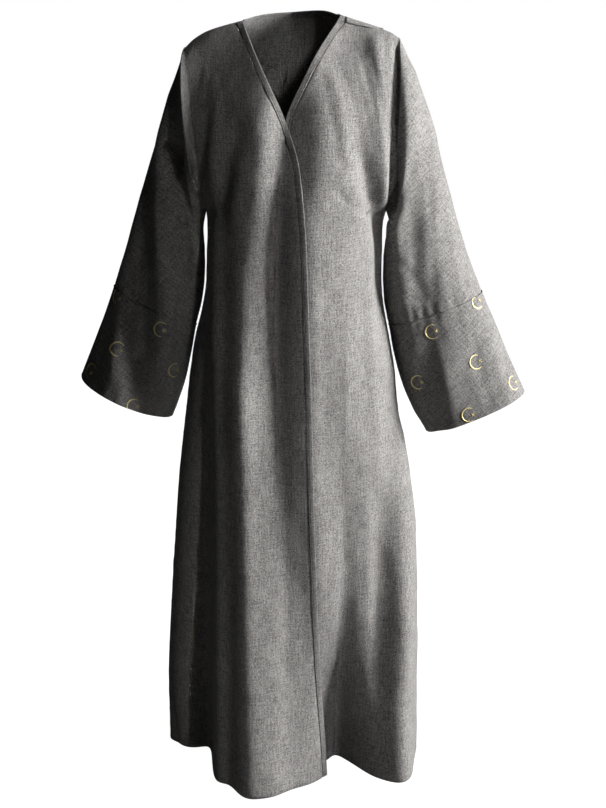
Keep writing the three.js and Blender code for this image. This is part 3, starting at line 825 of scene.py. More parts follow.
def shell_flats(grid, loops):
    """Flat places of a shell's face corners, with the pattern begun anew past a turn of the grain."""
    placed = np.tile(grid.flat[grid.there], (2, 1))[loops] * MM
    if grid.grain_turn:
        column, turned = grid.grain_turn
        rows, columns = (np.tile(each, 2)[loops].reshape(-1, 4) for each in np.nonzero(grid.there))
        past = (columns == column) & (columns > column).any(axis=1, keepdims=True)
        placed.reshape(-1, 4, 2)[past] = turned[rows[past]] * MM
    return placed


def shell(name, grid, outer, inner, seam=None):
    """A closed cloth shell on a grid, as thick outwards and inwards as the two arrays say."""
    there, normal = grid.there, grid.normals(seam)
    count = int(there.sum())
    number = np.full(there.shape, -1)
    number[there] = np.arange(count)
    skins = [
        grid.points + normal * np.broadcast_to(outer, there.shape)[..., None],
        grid.points - normal * np.broadcast_to(inner, there.shape)[..., None],
    ]
    vertices = np.concatenate([skin[there] for skin in skins]) * MM
    ring = np.concatenate([number, number[:, :1]], axis=1) if grid.closed else number
    corners = [ring[:-1, :-1], ring[:-1, 1:], ring[1:, 1:], ring[1:, :-1]]
    quads = np.stack(corners, axis=-1).reshape(-1, 4)
    quads = quads[(quads >= 0).all(axis=1)]
    if grid.flip:
        quads = quads[:, ::-1]
    faces = closed_faces(quads, count)
    return new_piece(name, vertices.tolist(), faces.tolist(), lambda loops: shell_flats(grid, loops))


def finish_piece(piece, slot, material, nodes=()):
    """Gives a piece its material and its body, and hides the nodes that it stands for. Its slot is not
    used.
    """
    piece.data.materials.append(material)
    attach(piece, BODY)
    if nodes:
        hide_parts(*nodes)
    return piece


def spread(edge, half, share):
    """Places from an edge to a side, closer together where the body turns away."""
    start = np.arcsin(np.clip(edge / half, -1, 1))
    return half * np.sin(mix(start, math.pi / 2, share))


def front_edge(side, z):
    """How far out a front's own edge lies."""
    return side.sign * read(FRONT_EDGES, "z", side.name, z)


def in_from_edge(side, z, width):
    """How far out a line lies that keeps a width from the front's edge."""
    slope = (front_edge(side, z + 1) - front_edge(side, z - 1)) / 2
    return front_edge(side, z) + width * np.hypot(1, slope)


def panel_rows():
    """Share of every body row of a panel, and turn of every row of its chest."""
    body = np.linspace(0, 1, BODY_ROWS + 1)[:-1]
    turn = np.linspace(-math.pi / 2, math.pi / 2, CHEST_ROWS + 1)
    return body[:, None], turn[:, None]


def shares(count, first=(), last=()):
    """Shares from nothing to one, even but for those given at the first or the last end."""
    start, end = (first[-1] if first else 0), (last[0] if last else 1)
    even = np.linspace(start, end, count + 1 - max(len(first) - 1, 0) - max(len(last) - 1, 0))
    return np.concatenate([first[:-1], even, last[1:]])


def sunk(beside, kind):
    """Rise beside a seam, less than nothing where it draws the cloth in."""
    return kind["rise"] * np.exp(-((beside / kind["width"]) ** 2))


def lap_places(side, out):
    """Rows of the back past the shoulder's ridge, on the front, and where they are there."""
    reach = LAP["reach"] * (1 - ease(out, LAP["fade_from"], LAP["fade_to"]))
    steps = np.arange(1, LAP_ROWS + 1)[:, None] / LAP_ROWS
    top = shoulder_z(side, np.maximum(out, side.neck_x))
    short = np.sqrt(1 - (reach * steps / read(DEPTHS, "z", "front", top)) ** 2)
    below = SHOULDER_ROUND["front"] * (1 - short)
    turn = np.arcsin(1 - 2 * below / (top - UNDERARM_Z))
    places = chest_places(side, "front", turn, out)
    lift = mix(LAP["lift"], LAP["edge_lift"], steps**2)
    there = (out >= band_corner(side) - LAP_SLACK) & (reach > LAP_SHORTEST) & (side is LEFT)
    return places, lift, there


def unrolled_sleeve(side, face, at, turn):
    """Where a sleeve's points lie once its front or back is pressed flat, in out and up."""
    section = {name: read(side.sleeve, "row", name, at) for name in SLEEVE_COLUMNS.split()}
    wide = (section["top_x"] - section["under_x"]) / 2
    high = (section["top_z"] - section["under_z"]) / 2
    half = np.hypot(wide, high)
    steps = np.linspace(0, 1, ARC_STEPS)
    angles = turn[..., None] * steps
    speed = np.hypot(half[..., None] * np.cos(angles), section[face][..., None] * np.sin(angles))
    arc = speed.mean(axis=-1) * turn / half
    out = (section["top_x"] + section["under_x"]) / 2 + wide * arc
    up = (section["top_z"] + section["under_z"]) / 2 + high * arc
    return np.stack(np.broadcast_arrays(out, up), axis=-1)


def on_grain(flat, angle):
    """Flat places turned so that the warp, which leans outward by an angle, stands upright."""
    lean = math.radians(angle)
    warp, weft = (math.sin(lean), math.cos(lean)), (math.cos(lean), -math.sin(lean))
    return np.stack([flat @ weft, flat @ warp], axis=-1)


def puckers(beside, along, kind):
    """Small waves that the sewing draws up beside a seam."""
    drift = PUCKER_DRIFT["phase"] * np.sin(along / PUCKER_DRIFT["length"])
    wave = np.sin(2 * math.pi * along / kind["length"] + drift)
    turns = along / PUCKER_SWELL["length"] + PUCKER_SWELL["phase"]
    swell = PUCKER_SWELL["middle"] + PUCKER_SWELL["rise"] * np.sin(turns)
    fade = np.exp(-((beside / kind["reach"]) ** 2)) * ease(beside, 0, kind["reach"] / 4)
    return kind["rise"] * wave * swell * fade


def chest_outs(side, face, edge, share, turn):
    """How far out the columns of the chest lie, from the panel's edge to the armhole."""
    outside = armhole_out(side, turn)
    top = mix(edge, outside, share)
    if face == "back":
        corner = band_corner(side)
        neck_share = NECK_COLUMNS / BACK_COLUMNS
        beyond = mix(corner, outside, (share - neck_share) / (1 - neck_share))
        top = np.where(share < neck_share, corner * share / neck_share, beyond)
    return mix(spread(edge, outside, share), top, ease(climb_of(turn), 0, 1))


def panel_flats(side, face, points, start, at, turn):
    """Flat places of a panel, and of the column where the sleeve's pattern begins anew."""
    rows, total = points.shape[:2]
    columns = total - SLEEVE_GRID_COLUMNS
    flat = np.zeros((rows, total, 2))
    flat[: UPPER.stop, :columns, 0] = start + flat_lengths(points, 1)[: UPPER.stop, :columns]
    flat[UPPER.stop :, :columns, 0] = flat[UPPER.stop - 1, :columns, 0]
    flat[:, :columns, 1] = flat_lengths(points[:, :columns], 0)
    from_armhole = np.concatenate([[[0.0]], at], axis=1)
    sleeve = on_grain(unrolled_sleeve(side, face, from_armhole, turn), SLEEVE_LEAN)
    middle = CHEST_ROWS // 2
    sleeve += flat[BODY_ROWS + middle, columns - 1] - sleeve[middle, 0]
    flat[UPPER, columns:] = sleeve[:, 1:]
    turned = np.zeros((rows, 2))
    turned[UPPER] = sleeve[:, 0]
    for each in (flat, turned):
        each[..., 0] *= side.sign
    return flat, turned


def sew_panel(rise, face, grid, depth, beside):
    """Adds to a panel's rise what its seams draw in and the puckers beside them."""
    row = np.arange(len(rise))[:, None]
    armhole = rise.shape[1] - SLEEVE_GRID_COLUMNS - 1
    across = flat_lengths(grid.points, 1)
    along_seam = np.where(row < BODY_ROWS, grid.flat[..., 1], across)
    rise += sunk(beside, SIDE_SINK) * (beside > 0)
    low = row < BODY_ROWS + CHEST_ROWS // 2
    rise += puckers(np.where(low, beside, FAR), along_seam, PUCKER)
    if face == "front":
        rise[:, : armhole + 1] += sunk(across[:, : armhole + 1], BAND_SINK)
    sleeve = grid.points[UPPER, armhole:]
    along, girth = flat_lengths(sleeve, 1), flat_lengths(sleeve, 0)
    to_cuff = along[:, -1:] - along
    calm = ease(depth[UPPER, armhole:], 0, CREASE_CALM)
    rise[UPPER, armhole:] += puckers(to_cuff, girth, CUFF_PUCKER) * calm + sunk(to_cuff, SLEEVE_END_SINK)


def panel_grid(side, face, first, columns):
    """One front, or half of the back, with the upper sleeve that is cut in one with it."""
    body_share, turn = panel_rows()
    z = mix(HEM_Z, UNDERARM_Z, body_share)
    share = shares(columns, BESIDE_BAND if face == "front" else ())[None, :]
    half = read(SIDE_SEAMS, "z", side.name, z)
    body = body_places(side, face, z, spread(first(z), half, share))
    edge = first(mix(UNDERARM_Z, side.neck_z, climb_of(turn)))
    out = chest_outs(side, face, edge, share, turn)
    along_sleeve = shares(SLEEVE_GRID_COLUMNS, (), BEFORE_CUFF)[None, 1:]
    at = CUFF_SEAM_SECTION * along_sleeve**SLEEVE_CROWDING
    upper = chest_places(side, face, turn, out).joined(sleeve_places(side, face, at, turn))
    size = (UPPER.stop + (LAP_ROWS if face == "back" else 0), columns + 1 + SLEEVE_GRID_COLUMNS)
    points, rise, depth = np.zeros((*size, 3)), np.zeros(size), np.full(size, FAR)
    there = np.ones(size, bool)
    there[:BODY_ROWS, columns + 1 :] = False
    there[UPPER.stop :] = False
    parts = [(slice(0, BODY_ROWS), body, 0), (UPPER, upper, 0)]
    if face == "back":
        lap, lift, lapped = lap_places(side, out[-1:])
        there[UPPER.stop :, : columns + 1] = lapped
        parts.append((slice(UPPER.stop, size[0]), lap, lift))
    for span, places, lift in parts:
        wide = slice(0, places.x.shape[1])
        points[span, wide] = places.points()
        rise[span, wide] = folds_at(places) - setback(side, places) + lift
        depth[span, wide] = places.depth
    start = np.concatenate([first(z), edge])
    flat, turned = panel_flats(side, face, points, start, at, turn)
    flip = (side.sign < 0) == (face == "front")
    grid = Grid(points, flat, flip, there, crowded=CROWDED, grain_turn=(columns, turned))
    seam = depth < ON_SEAM
    beside = np.where(there & ~seam, depth, 0)
    beside[UPPER.stop :] = FAR
    sew_panel(rise, face, grid, depth, beside)
    return grid.drape(rise, seam), seam


# Materials


def new_group(name, inputs, outputs):
    """A shader node group with named sockets, and its own input and output nodes."""
    group = bpy.data.node_groups.new(name, "ShaderNodeTree")
    for label, kind, value in inputs:
        socket = group.interface.new_socket(label, in_out="INPUT", socket_type=kind)
        if value is not None:
            socket.default_value = value
    for label, kind in outputs:
        group.interface.new_socket(label, in_out="OUTPUT", socket_type=kind)
    start = group.nodes.new("NodeGroupInput")
    end = group.nodes.new("NodeGroupOutput")
    return group, start, end


def new_material(name):
    """A material, its wiring and its shader."""
    material = bpy.data.materials.new(name)
    material.use_nodes = True
    return material, Wiring(material.node_tree), material.node_tree.nodes["Principled BSDF"]


def set_inputs(node, values):
    """Sets a node's inputs by name."""
    for name, value in values.items():
        node.inputs[name].default_value = value


class Wiring:
    """Adds and links nodes in one tree."""

    def __init__(self, tree):
        self.tree = tree

    def node(self, kind, **settings):
        """A new node with its settings."""
        made = self.tree.nodes.new(kind)
        for name, value in settings.items():
            setattr(made, name, value)
        return made

    def link(self, source, target):
        """A link from an output to an input."""
        self.tree.links.new(source, target)

    def feed(self, socket, value):
        """An input's value, or its link where the value is another node's output."""
        if isinstance(value, bpy.types.NodeSocket):
            self.link(value, socket)
        else:
            socket.default_value = value

    def math(self, operation, first, second=0.0, clamp=False):
        """The result of one sum."""
        made = self.node("ShaderNodeMath", operation=operation, use_clamp=clamp)
        self.feed(made.inputs[0], first)
        self.feed(made.inputs[1], second)
        return made.outputs[0]

    def weighted(self, values, weights):
        """The sum of named values, each times its weight."""
        parts = [self.math("MULTIPLY", values[name], weight) for name, weight in weights.items()]
        total = parts[0]
        for part in parts[1:]:
            total = self.math("ADD", total, part)
        return total

    def noise(self, vector, scale, detail, roughness):
        """Flat noise with its own scale each way."""
        mapping = self.node("ShaderNodeMapping")
        self.link(vector, mapping.inputs["Vector"])
        mapping.inputs["Scale"].default_value = scale
        made = self.node("ShaderNodeTexNoise", noise_dimensions="2D")
        self.link(mapping.outputs[0], made.inputs["Vector"])
        set_inputs(made, {"Scale": 1.0, "Detail": detail, "Roughness": roughness})
        return made.outputs["Fac"]

    def remap(self, value, low, high, to_low=0.0, to_high=1.0):
        """A value brought from one range to another, and kept within it."""
        made = self.node("ShaderNodeMapRange")
        self.link(value, made.inputs["Value"])
        set_inputs(made, {"From Min": low, "From Max": high, "To Min": to_low, "To Max": to_high})
        return made.outputs["Result"]

    def blend(self, share, low, high):
        """A colour between two others."""
        made = self.node("ShaderNodeMix", data_type="RGBA")
        self.feed(made.inputs["Factor"], share)
        self.feed(made.inputs["A"], low)
        self.feed(made.inputs["B"], high)
        return made.outputs["Result"]

    def relief(self, height, settings, shader):
        """Relief on a shader from a height."""
        bump = self.node("ShaderNodeBump")
        set_inputs(bump, settings)
        self.link(height, bump.inputs["Height"])
        self.link(bump.outputs["Normal"], shader.inputs["Normal"])


def melange_weave():
    """Heathered plain weave: dark and light fibres in each yarn, slubs along the warp, and relief."""
    group, start, end = new_group(
        "Melange weave",
        (
            ("Cloth", "NodeSocketVector", None),
            ("Dark yarn", "NodeSocketColor", (0.03, 0.03, 0.03, 1)),
            ("Light yarn", "NodeSocketColor", (0.3, 0.3, 0.3, 1)),
            ("Yarns per metre", "NodeSocketFloat", 900.0),
        ),
        (("Color", "NodeSocketColor"), ("Height", "NodeSocketFloat"), ("Roughness", "NodeSocketFloat")),
    )
    wiring = Wiring(group)
    cloth = start.outputs["Cloth"]
    warp_flecks = wiring.noise(cloth, *WARP_FLECKS)
    weft_flecks = wiring.noise(cloth, *WEFT_FLECKS)
    values = {"slubs": wiring.noise(cloth, *SLUBS), "cross slubs": wiring.noise(cloth, *CROSS_SLUBS)}
    cloudy = wiring.noise(cloth, *CLOUDS)
    place = wiring.node("ShaderNodeSeparateXYZ")
    wiring.link(cloth, place.inputs[0])
    turns = wiring.math("MULTIPLY", start.outputs["Yarns per metre"], math.pi)
    waves = [wiring.math("SINE", wiring.math("MULTIPLY", place.outputs[axis], turns)) for axis in "XY"]
    values["crossing"] = wiring.math("MULTIPLY", *waves)
    on_top = wiring.remap(values["crossing"], *CROSSING_RANGE)
    change = wiring.math("MULTIPLY", wiring.math("SUBTRACT", weft_flecks, warp_flecks), on_top)
    values["flecks"] = wiring.math("ADD", warp_flecks, change)
    tone = wiring.remap(wiring.weighted(values, TONE_PARTS), *TONE_RANGE)
    share = wiring.math("ADD", tone, wiring.remap(cloudy, *CLOUD_RANGE), clamp=True)
    colour = wiring.blend(share, start.outputs["Dark yarn"], start.outputs["Light yarn"])
    wiring.link(colour, end.inputs["Color"])
    wiring.link(wiring.weighted(values, RELIEF_PARTS), end.inputs["Height"])
    wiring.link(wiring.remap(values["flecks"], *MATTNESS_RANGE), end.inputs["Roughness"])


def cloth_material(name, settings, shade=1.0):
    """Matt melange cloth with a faint nap."""
    material, wiring, shader = new_material(name)
    place = wiring.node("ShaderNodeUVMap", uv_map="cloth")
    weave = wiring.node("ShaderNodeGroup", node_tree=bpy.data.node_groups["Melange weave"])
    wiring.link(place.outputs["UV"], weave.inputs["Cloth"])
    for socket, colour in (("Dark yarn", settings.dark_yarn), ("Light yarn", settings.light_yarn)):
        weave.inputs[socket].default_value = [part * shade for part in colour[:3]] + [1]
    weave.inputs["Yarns per metre"].default_value = settings.yarns_per_metre
    wiring.link(weave.outputs["Color"], shader.inputs["Base Color"])
    wiring.link(weave.outputs["Roughness"], shader.inputs["Roughness"])
    wiring.relief(weave.outputs["Height"], CLOTH_RELIEF, shader)
    set_inputs(shader, CLOTH_LOOK)
    return material


def thread_material(name, colour, metal, roughness):
    """Sewing or embroidery thread, with the twist and lie of its strands."""
    material, wiring, shader = new_material(name)
    place = wiring.node("ShaderNodeUVMap", uv_map="cloth")
    strands = wiring.noise(place.outputs["UV"], *STRANDS)
    dark = [part * THREAD_DARK for part in colour[:3]] + [1]
    tone = wiring.blend(wiring.remap(strands, *STRAND_RANGE), dark, list(colour[:3]) + [1])
    wiring.link(tone, shader.inputs["Base Color"])
    span = roughness + THREAD_GLOSS["rougher"], roughness - THREAD_GLOSS["smoother"]
    gloss = wiring.remap(strands, THREAD_GLOSS["low"], THREAD_GLOSS["high"], *span)
    wiring.link(gloss, shader.inputs["Roughness"])
    wiring.relief(strands, THREAD_RELIEF, shader)
    set_inputs(shader, {"Metallic": metal, "Sheen Weight": THREAD_SHEEN})
    return material


def material_for(name):
    """A material that is made once, on the first call that needs it."""
    if name in bpy.data.materials:
        return bpy.data.materials[name]
    if "Melange weave" not in bpy.data.node_groups:
        melange_weave()
    cloth, trim = bpy.context.scene.abaya_cloth, bpy.context.scene.abaya_trim
    makers = {
        "panel cloth": lambda: cloth_material(name, cloth),
        "cuff cloth": lambda: cloth_material(name, cloth, CUFF_SHADE),
        "band cloth": lambda: cloth_material(name, cloth, BAND_SHADE),
        "gold thread": lambda: thread_material(name, trim.gold, **GOLD),
        "sewing thread": lambda: thread_material(name, trim.thread, **SEWING),
    }
    return makers[name]()


# What a user may change


class ClothSettings(bpy.types.PropertyGroup):
    """The cloth of the whole robe."""

    thickness: FloatProperty(
        name="Thickness",
        description="Thickness of the cloth",
        default=0.0011,
        min=0.0003,
        max=0.003,
        unit="LENGTH",
        precision=4,
    )
    hem: FloatProperty(
        name="Hem",
        description="Height of the turned hem",
        default=0.022,
        min=0.005,
        max=0.06,
        unit="LENGTH",
    )
    yarns_per_metre: IntProperty(
        name="Yarns per metre",
        description="How many yarns cross a metre of cloth",
        default=1050,
        min=300,
        max=3000,
    )
    dark_yarn: FloatVectorProperty(
        name="Dark yarn",
        description="Colour of the darkest fibres",
        subtype="COLOR",
        size=3,
        default=(0.030, 0.029, 0.028),
        min=0,
        max=1,
    )
    light_yarn: FloatVectorProperty(
        name="Light yarn",
        description="Colour of the lightest fibres",
        subtype="COLOR",
        size=3,
        default=(0.25, 0.24, 0.23),
        min=0,
        max=1,
    )


class TrimSettings(bpy.types.PropertyGroup):
    """The bands, embroidery and sewing."""

    band_thickness: FloatProperty(
        name="Band thickness",
        description="Thickness of the folded band along the front edges and the neck",
        default=0.0026,
        min=0.001,
        max=0.006,
        unit="LENGTH",
        precision=4,
    )
    motif: FloatProperty(
        name="Motif",
        description="Outer diameter of each embroidered crescent",
        default=0.028,
        min=0.01,
        max=0.06,
        unit="LENGTH",
    )
    stitch: FloatProperty(
        name="Stitch",
        description="Length of one sewing stitch with the gap after it",
        default=0.0032,
        min=0.0015,
        max=0.008,
        unit="LENGTH",
        precision=4,
    )
    gold: FloatVectorProperty(
        name="Gold thread",
        description="Colour of the embroidery",
        subtype="COLOR",
        size=3,
        default=(0.78, 0.64, 0.29),
        min=0,
        max=1,
    )
    thread: FloatVectorProperty(
        name="Sewing thread",
        description="Colour of the sewing",
        subtype="COLOR",
        size=3,
        default=(0.10, 0.10, 0.095),
        min=0,
        max=1,
    )


class StudioSettings(bpy.types.PropertyGroup):
    """The floor, light and camera."""

    floor_drop: FloatProperty(
        name="Floor drop",
        description="Height of the hem over the floor",
        default=0.05,
        min=0,
        max=0.5,
        unit="LENGTH",
    )
    key: FloatProperty(
        name="Key light",
        description="Strength of the soft light at the front right",
        default=450,
        min=0,
        max=2000,
        unit="POWER",
    )
    fill: FloatProperty(
        name="Fill light",
        description="Strength of the narrow soft light at the front",
        default=0.75,
        min=0,
        max=2000,
        unit="POWER",
    )
    lens: FloatProperty(
        name="Lens",
        description="Focal length of the camera, in millimetres",
        default=57.5,
        min=20,
        max=200,
    )


# Pieces


def hem_skins(above, settings):
    """Thickness outwards and inwards by the height above the hem, whose second layer is inside."""
    half = settings.thickness / MM / 2
    hem = settings.hem / MM
    turned = 1 - ease(above, hem - HEM_TURN["begin"], hem + HEM_TURN["end"])
    rolled = np.exp(-((above / HEM_TURN["roll"]) ** 2))
    outer = half * (1 + HEM_TURN["fuller"] * rolled)
    inner = half + HEM_TURN["layer"] * turned * (1 - HEM_TURN["fuller"] * rolled)
    return outer, inner


def line_at(grid, measure, value, lift):
    """The line where a measure that grows row by row has a value, and the way the cloth faces."""
    columns = np.flatnonzero(grid.there[0])
    measure = measure[:, columns]
    row = np.clip((measure < value).sum(axis=0) - 1, 0, len(measure) - 2)
    each = np.arange(len(columns))
    low, high = measure[row, each], measure[row + 1, each]
    share = ((value - low) / (high - low))[:, None]
    normal = grid.normals()
    facing = unit(mix(normal[row, columns], normal[row + 1, columns], share))
    path = mix(grid.points[row, columns], grid.points[row + 1, columns], share)
    return (path + facing * lift) * MM, facing


def hem_line(grid, settings):
    """Where the stitches that hold a turned hem show on the outside."""
    height = (settings.hem / MM) - HEM_STITCH_DROP
    return line_at(grid, grid.flat[:BODY_ROWS, :, 1], height, settings.thickness / MM / 2)


def panel_piece(name, grid, seam):
    """A panel's cloth with its turned hem."""
    cloth = bpy.context.scene.abaya_cloth
    outer, inner = hem_skins(grid.flat[..., 1], cloth)
    piece = shell(f"{name}_cloth", grid, outer, inner, seam=seam)
    return finish_piece(piece, "melange_cloth", material_for("panel cloth"), [name])


def make_front(side):
    """One front, with its hem's stitches."""
    start = BAND_WIDTH - UNDER_BAND
    grid, seam = panel_grid(side, "front", lambda z: in_from_edge(side, z, start), BODY_COLUMNS)
    piece = panel_piece(f"front_{side.name}", grid, seam)
    line = hem_line(grid, bpy.context.scene.abaya_cloth)
    hem = stitch_piece(f"hem_stitches_{side.name}", *line, "melange_cloth")


def both_halves(right, left):
    """The right half's columns and the left one's as one array, with the middle column once."""
    return np.concatenate([right[:, :0:-1], left], axis=1)


def make_back():
    """The back from side seam to side seam, with its hem's stitches."""
    halves = [panel_grid(side, "back", np.zeros_like, BACK_COLUMNS) for side in (RIGHT, LEFT)]
    (right, right_seam), (left, left_seam) = halves
    points = both_halves(right.points, left.points)
    flat = both_halves(right.flat, left.flat)
    grid = Grid(points, flat, left.flip, both_halves(right.there, left.there), crowded=CROWDED)
    piece = panel_piece("back", grid, both_halves(right_seam, left_seam))
    line = hem_line(grid, bpy.context.scene.abaya_cloth)
    hem = stitch_piece("hem_stitches_back", *line, "melange_cloth")


def cuff_grid(side):
    """One cuff as a tube, from its seam to the sleeve down to its hem."""
    share = shares(CUFF_RINGS, BELOW_CUFF_SEAM)[:, None]
    at = mix(CUFF_SEAM_SECTION, SLEEVE_SECTIONS - 1, share)
    angle = np.linspace(0, 2 * math.pi, CUFF_SEGMENTS, endpoint=False)[None, :] - math.pi / 2
    ahead = np.cos(angle) >= -TINY
    front = sleeve_places(side, "front", at, angle)
    back = sleeve_places(side, "back", at, math.pi - angle)
    points = np.where(ahead[..., None], front.points(), back.points())
    rise = np.where(ahead, folds_at(front), folds_at(back))
    along = flat_lengths(points, 0)
    around = flat_lengths(np.concatenate([points, points[:, :1]], axis=1), 1)
    flat_front = unrolled_sleeve(side, "front", at, angle)
    flat_back = unrolled_sleeve(side, "back", at, math.pi - angle)
    flat = on_grain(np.where(ahead[..., None], flat_front, flat_back), CUFF_LEAN)
    grid = Grid(points, flat, side.sign > 0, closed=True)
    under = np.minimum(around, around[:, -1:] - around)[:, :-1]
    rise = rise + puckers(along, around[:, :-1], CUFF_PUCKER_BELOW)
    rise = rise + sunk(along, CUFF_EDGE) + sunk(under, SIDE_SINK)
    return grid.drape(rise), along


def make_cuff(side):
    """One cuff, with its hem's stitches."""
    cloth = bpy.context.scene.abaya_cloth
    grid, along = cuff_grid(side)
    outer, inner = hem_skins(along[-1:] - along, cloth)
    piece = shell(f"cuff_{side.name}_cloth", grid, outer, inner)
    finish_piece(piece, "cuff_cloth", material_for("cuff cloth"), [f"cuff_{side.name}"])
    stitched_at = along[-1] - cloth.hem / MM + HEM_STITCH_DROP
    line = line_at(grid, along, stitched_at, cloth.thickness / MM / 2)
    closed = [np.concatenate([each, each[:1]]) for each in line]
    return piece, stitch_piece(f"cuff_stitches_{side.name}", *closed, "cuff_cloth")


def band_profile(share, thickness):
    """Half thickness across a band: a rounded fold, a flat top, a stitched groove and a seam."""
    edge = np.sqrt(np.clip(1 - (1 - np.clip(share / BAND_FOLD["width"], 0, 1)) ** 2, 0, 1))
    from_stitches = (share - STITCHED_AT / BAND_STEPS) / BAND_GROOVE["width"]
    groove = 1 - BAND_GROOVE["depth"] * np.exp(-(from_stitches**2))
    inner = 1 - BAND_SEAM["loss"] * ease(share, BAND_SEAM["start"], 1)
    return thickness / 2 * mix(BAND_FOLD["edge"], 1.0, edge) * groove * inner


def band_piece(name, sewing, grid, seam, share, line):
    """A folded band and the stitches along one line of its grid."""
    half = band_profile(share, bpy.context.scene.abaya_trim.band_thickness / MM)
    piece = shell(f"{name}_cloth", grid, half, half, seam=seam)
    finish_piece(piece, "edge_band", material_for("band cloth"), [name])
    facing = grid.normals(seam)[line]
    path = (grid.points[line] + facing * half.ravel()[STITCHED_AT]) * MM
    return piece, stitch_piece(sewing, path, facing, "edge_band")


def make_front_band(side):
    """The band along one front's edge, from the hem to the shoulder seam."""
    width = np.linspace(0, BAND_WIDTH, BAND_STEPS + 1)[None, :]
    body_share, turn = panel_rows()
    z = mix(HEM_Z, UNDERARM_Z, body_share)
    edge_z = mix(UNDERARM_Z, side.neck_z, climb_of(turn))
    parts = (
        body_places(side, "front", z, in_from_edge(side, z, width)),
        chest_places(side, "front", turn, in_from_edge(side, edge_z, width)),
    )
    points = np.concatenate([places.points() for places in parts])
    rise = np.concatenate([folds_at(places) - setback(side, places) for places in parts])
    seam = np.concatenate([places.depth for places in parts]) < ON_SEAM
    up = flat_lengths(points, 0)
    flat = np.stack([np.broadcast_to(width, up.shape), up], axis=-1)
    grid = Grid(points, flat, side.sign < 0, crowded=CROWDED).drape(rise, seam)
    names = f"front_band_{side.name}", f"band_stitches_{side.name}"
    line = (slice(None), STITCHED_AT)
    piece, sewing = band_piece(*names, grid, seam, width / BAND_WIDTH, line)


def make_neck_band():
    """The band round the back neck, from one shoulder seam to the other."""
    down = np.linspace(0, 1, BAND_STEPS + 1)[:, None]
    halves = []
    for side in (RIGHT, LEFT):
        share = np.linspace(0, 1, NECK_COLUMNS * 2 + 1)[None, :]
        calm = 1 - share**NECK_SQUARENESS
        lower = share * band_corner(side)
        out = mix(share * side.neck_x, lower, down)
        upper_z = level(RIGHT.neck_z, LEFT.neck_z, side.sign * out, side.neck_x) + NAPE_RISE * calm
        z = mix(upper_z, back_top_z(side, lower), down)
        depth = chest_depth(side, "back", math.pi / 2, out, z) * (share < 1)
        places = Places(side, "back", out, 0, z, depth)
        halves.append((places.points(), folds_at(places), depth < ON_SEAM))
    points, rise, seam = (both_halves(*pair) for pair in zip(*halves))
    along = flat_lengths(points, 1)
    flat = np.stack([np.broadcast_to(down * BAND_WIDTH, along.shape), along], axis=-1)
    grid = Grid(points, flat, False).drape(rise, seam)
    piece, sewing = band_piece("neck_band", "neck_stitches", grid, seam, down, STITCHED_AT)


# Embroidery and stitching


def tree_of(piece):
    """What rays can be cast on: a piece's own faces."""
    vertices = [vertex.co for vertex in piece.data.vertices]
    return BVHTree.FromPolygons(vertices, [tuple(face.vertices) for face in piece.data.polygons])


def taken(shape):
    """A primitive's points and faces, and the primitive itself removed."""
    points = np.array([vertex.co[:] for vertex in shape.data.vertices])
    faces = [tuple(face.vertices) for face in shape.data.polygons]
    bpy.data.objects.remove(shape)
    return points, faces


def shaped_grid(size, place_of):
    """A primitive grid whose points are moved by a function of their share along and place across."""
    steps, ribs = size["steps"], size["ribs"]
    bpy.ops.mesh.primitive_grid_add(x_subdivisions=steps, y_subdivisions=ribs, size=2, location=(0, 0, 0))
    made = bpy.context.object
    for vertex in made.data.vertices:
        vertex.co = place_of((vertex.co.x + 1) / 2, vertex.co.y)
    return made


def crescent(outer):
    """A crescent that narrows to its tips, ribbed like satin stitch."""
    opening = math.radians(CRESCENT["opening"])

    def place_of(along, across):
        angle = opening + along * 2 * (math.pi - opening)
        body = math.sin(math.pi * along) ** CRESCENT["fullness"]
        half = outer * mix(*CRESCENT["half_width"], body)
        radius = outer - half + across * half
        height = outer * mix(*CRESCENT["height"], body) * math.sqrt(max(0, 1 - across**2))
        satin = 1 + CRESCENT["satin"] * math.sin(along * CRESCENT["steps"] * math.pi)
        return radius * math.cos(angle), radius * math.sin(angle), height * satin

    return shaped_grid(CRESCENT, place_of)


def star_ray(outer, ray):
    """One ray of the small star in the crescent's mouth."""
    star = outer * STAR["radius"]
    centre = outer * STAR["centre"]
    angle = 2 * math.pi * (ray / STAR["rays"] + STAR["turn"])

    def place_of(along, across):
        half = star * mix(*STAR["half_width"], along)
        reach, side = star * along, half * across
        round_top = math.sqrt(max(0, 1 - across**2))
        height = star * STAR["height"] * round_top * (1 - STAR["taper"] * along)
        x = centre + reach * math.cos(angle) - side * math.sin(angle)
        y = reach * math.sin(angle) + side * math.cos(angle)
        return x, y, height

    return shaped_grid(STAR, place_of)


def crescent_and_star(diameter):
    """One motif, flat, as points across, up and high, and faces."""
    outer = diameter / 2
    bpy.ops.object.select_all(action="DESELECT")
    made = [crescent(outer)] + [star_ray(outer, ray) for ray in range(STAR["rays"])]
    bpy.ops.object.select_all(action="DESELECT")
    for each in made:
        each.select_set(True)
    bpy.context.view_layer.objects.active = made[0]
    bpy.ops.object.join()
    return taken(made[0])


def lay_on(tree, about, points, turn, lift):
    """A flat shape laid on the cloth round the point of it nearest to a place."""
    spot, normal = tree.find_nearest(about)[:2]
    if normal.dot(about - spot) < 0:
        normal = -normal
    up = (Vector((0, 0, 1)) - normal * normal.z).normalized()
    across = up.cross(normal)
    cos, sin = math.cos(math.radians(turn)), math.sin(math.radians(turn))
    placed = []
    for x, y, height in points:
        place = spot + across * (x * cos - y * sin) + up * (x * sin + y * cos)
        hit, facing = tree.ray_cast(place + normal * CAST, -normal, 2 * CAST)[:2]
        if hit is None:
            hit, facing = tree.find_nearest(place + normal * CAST / 4)[:2]
        if facing.dot(normal) < 0:
            facing = -facing
        placed.append(hit + facing * (height + lift))
    return placed


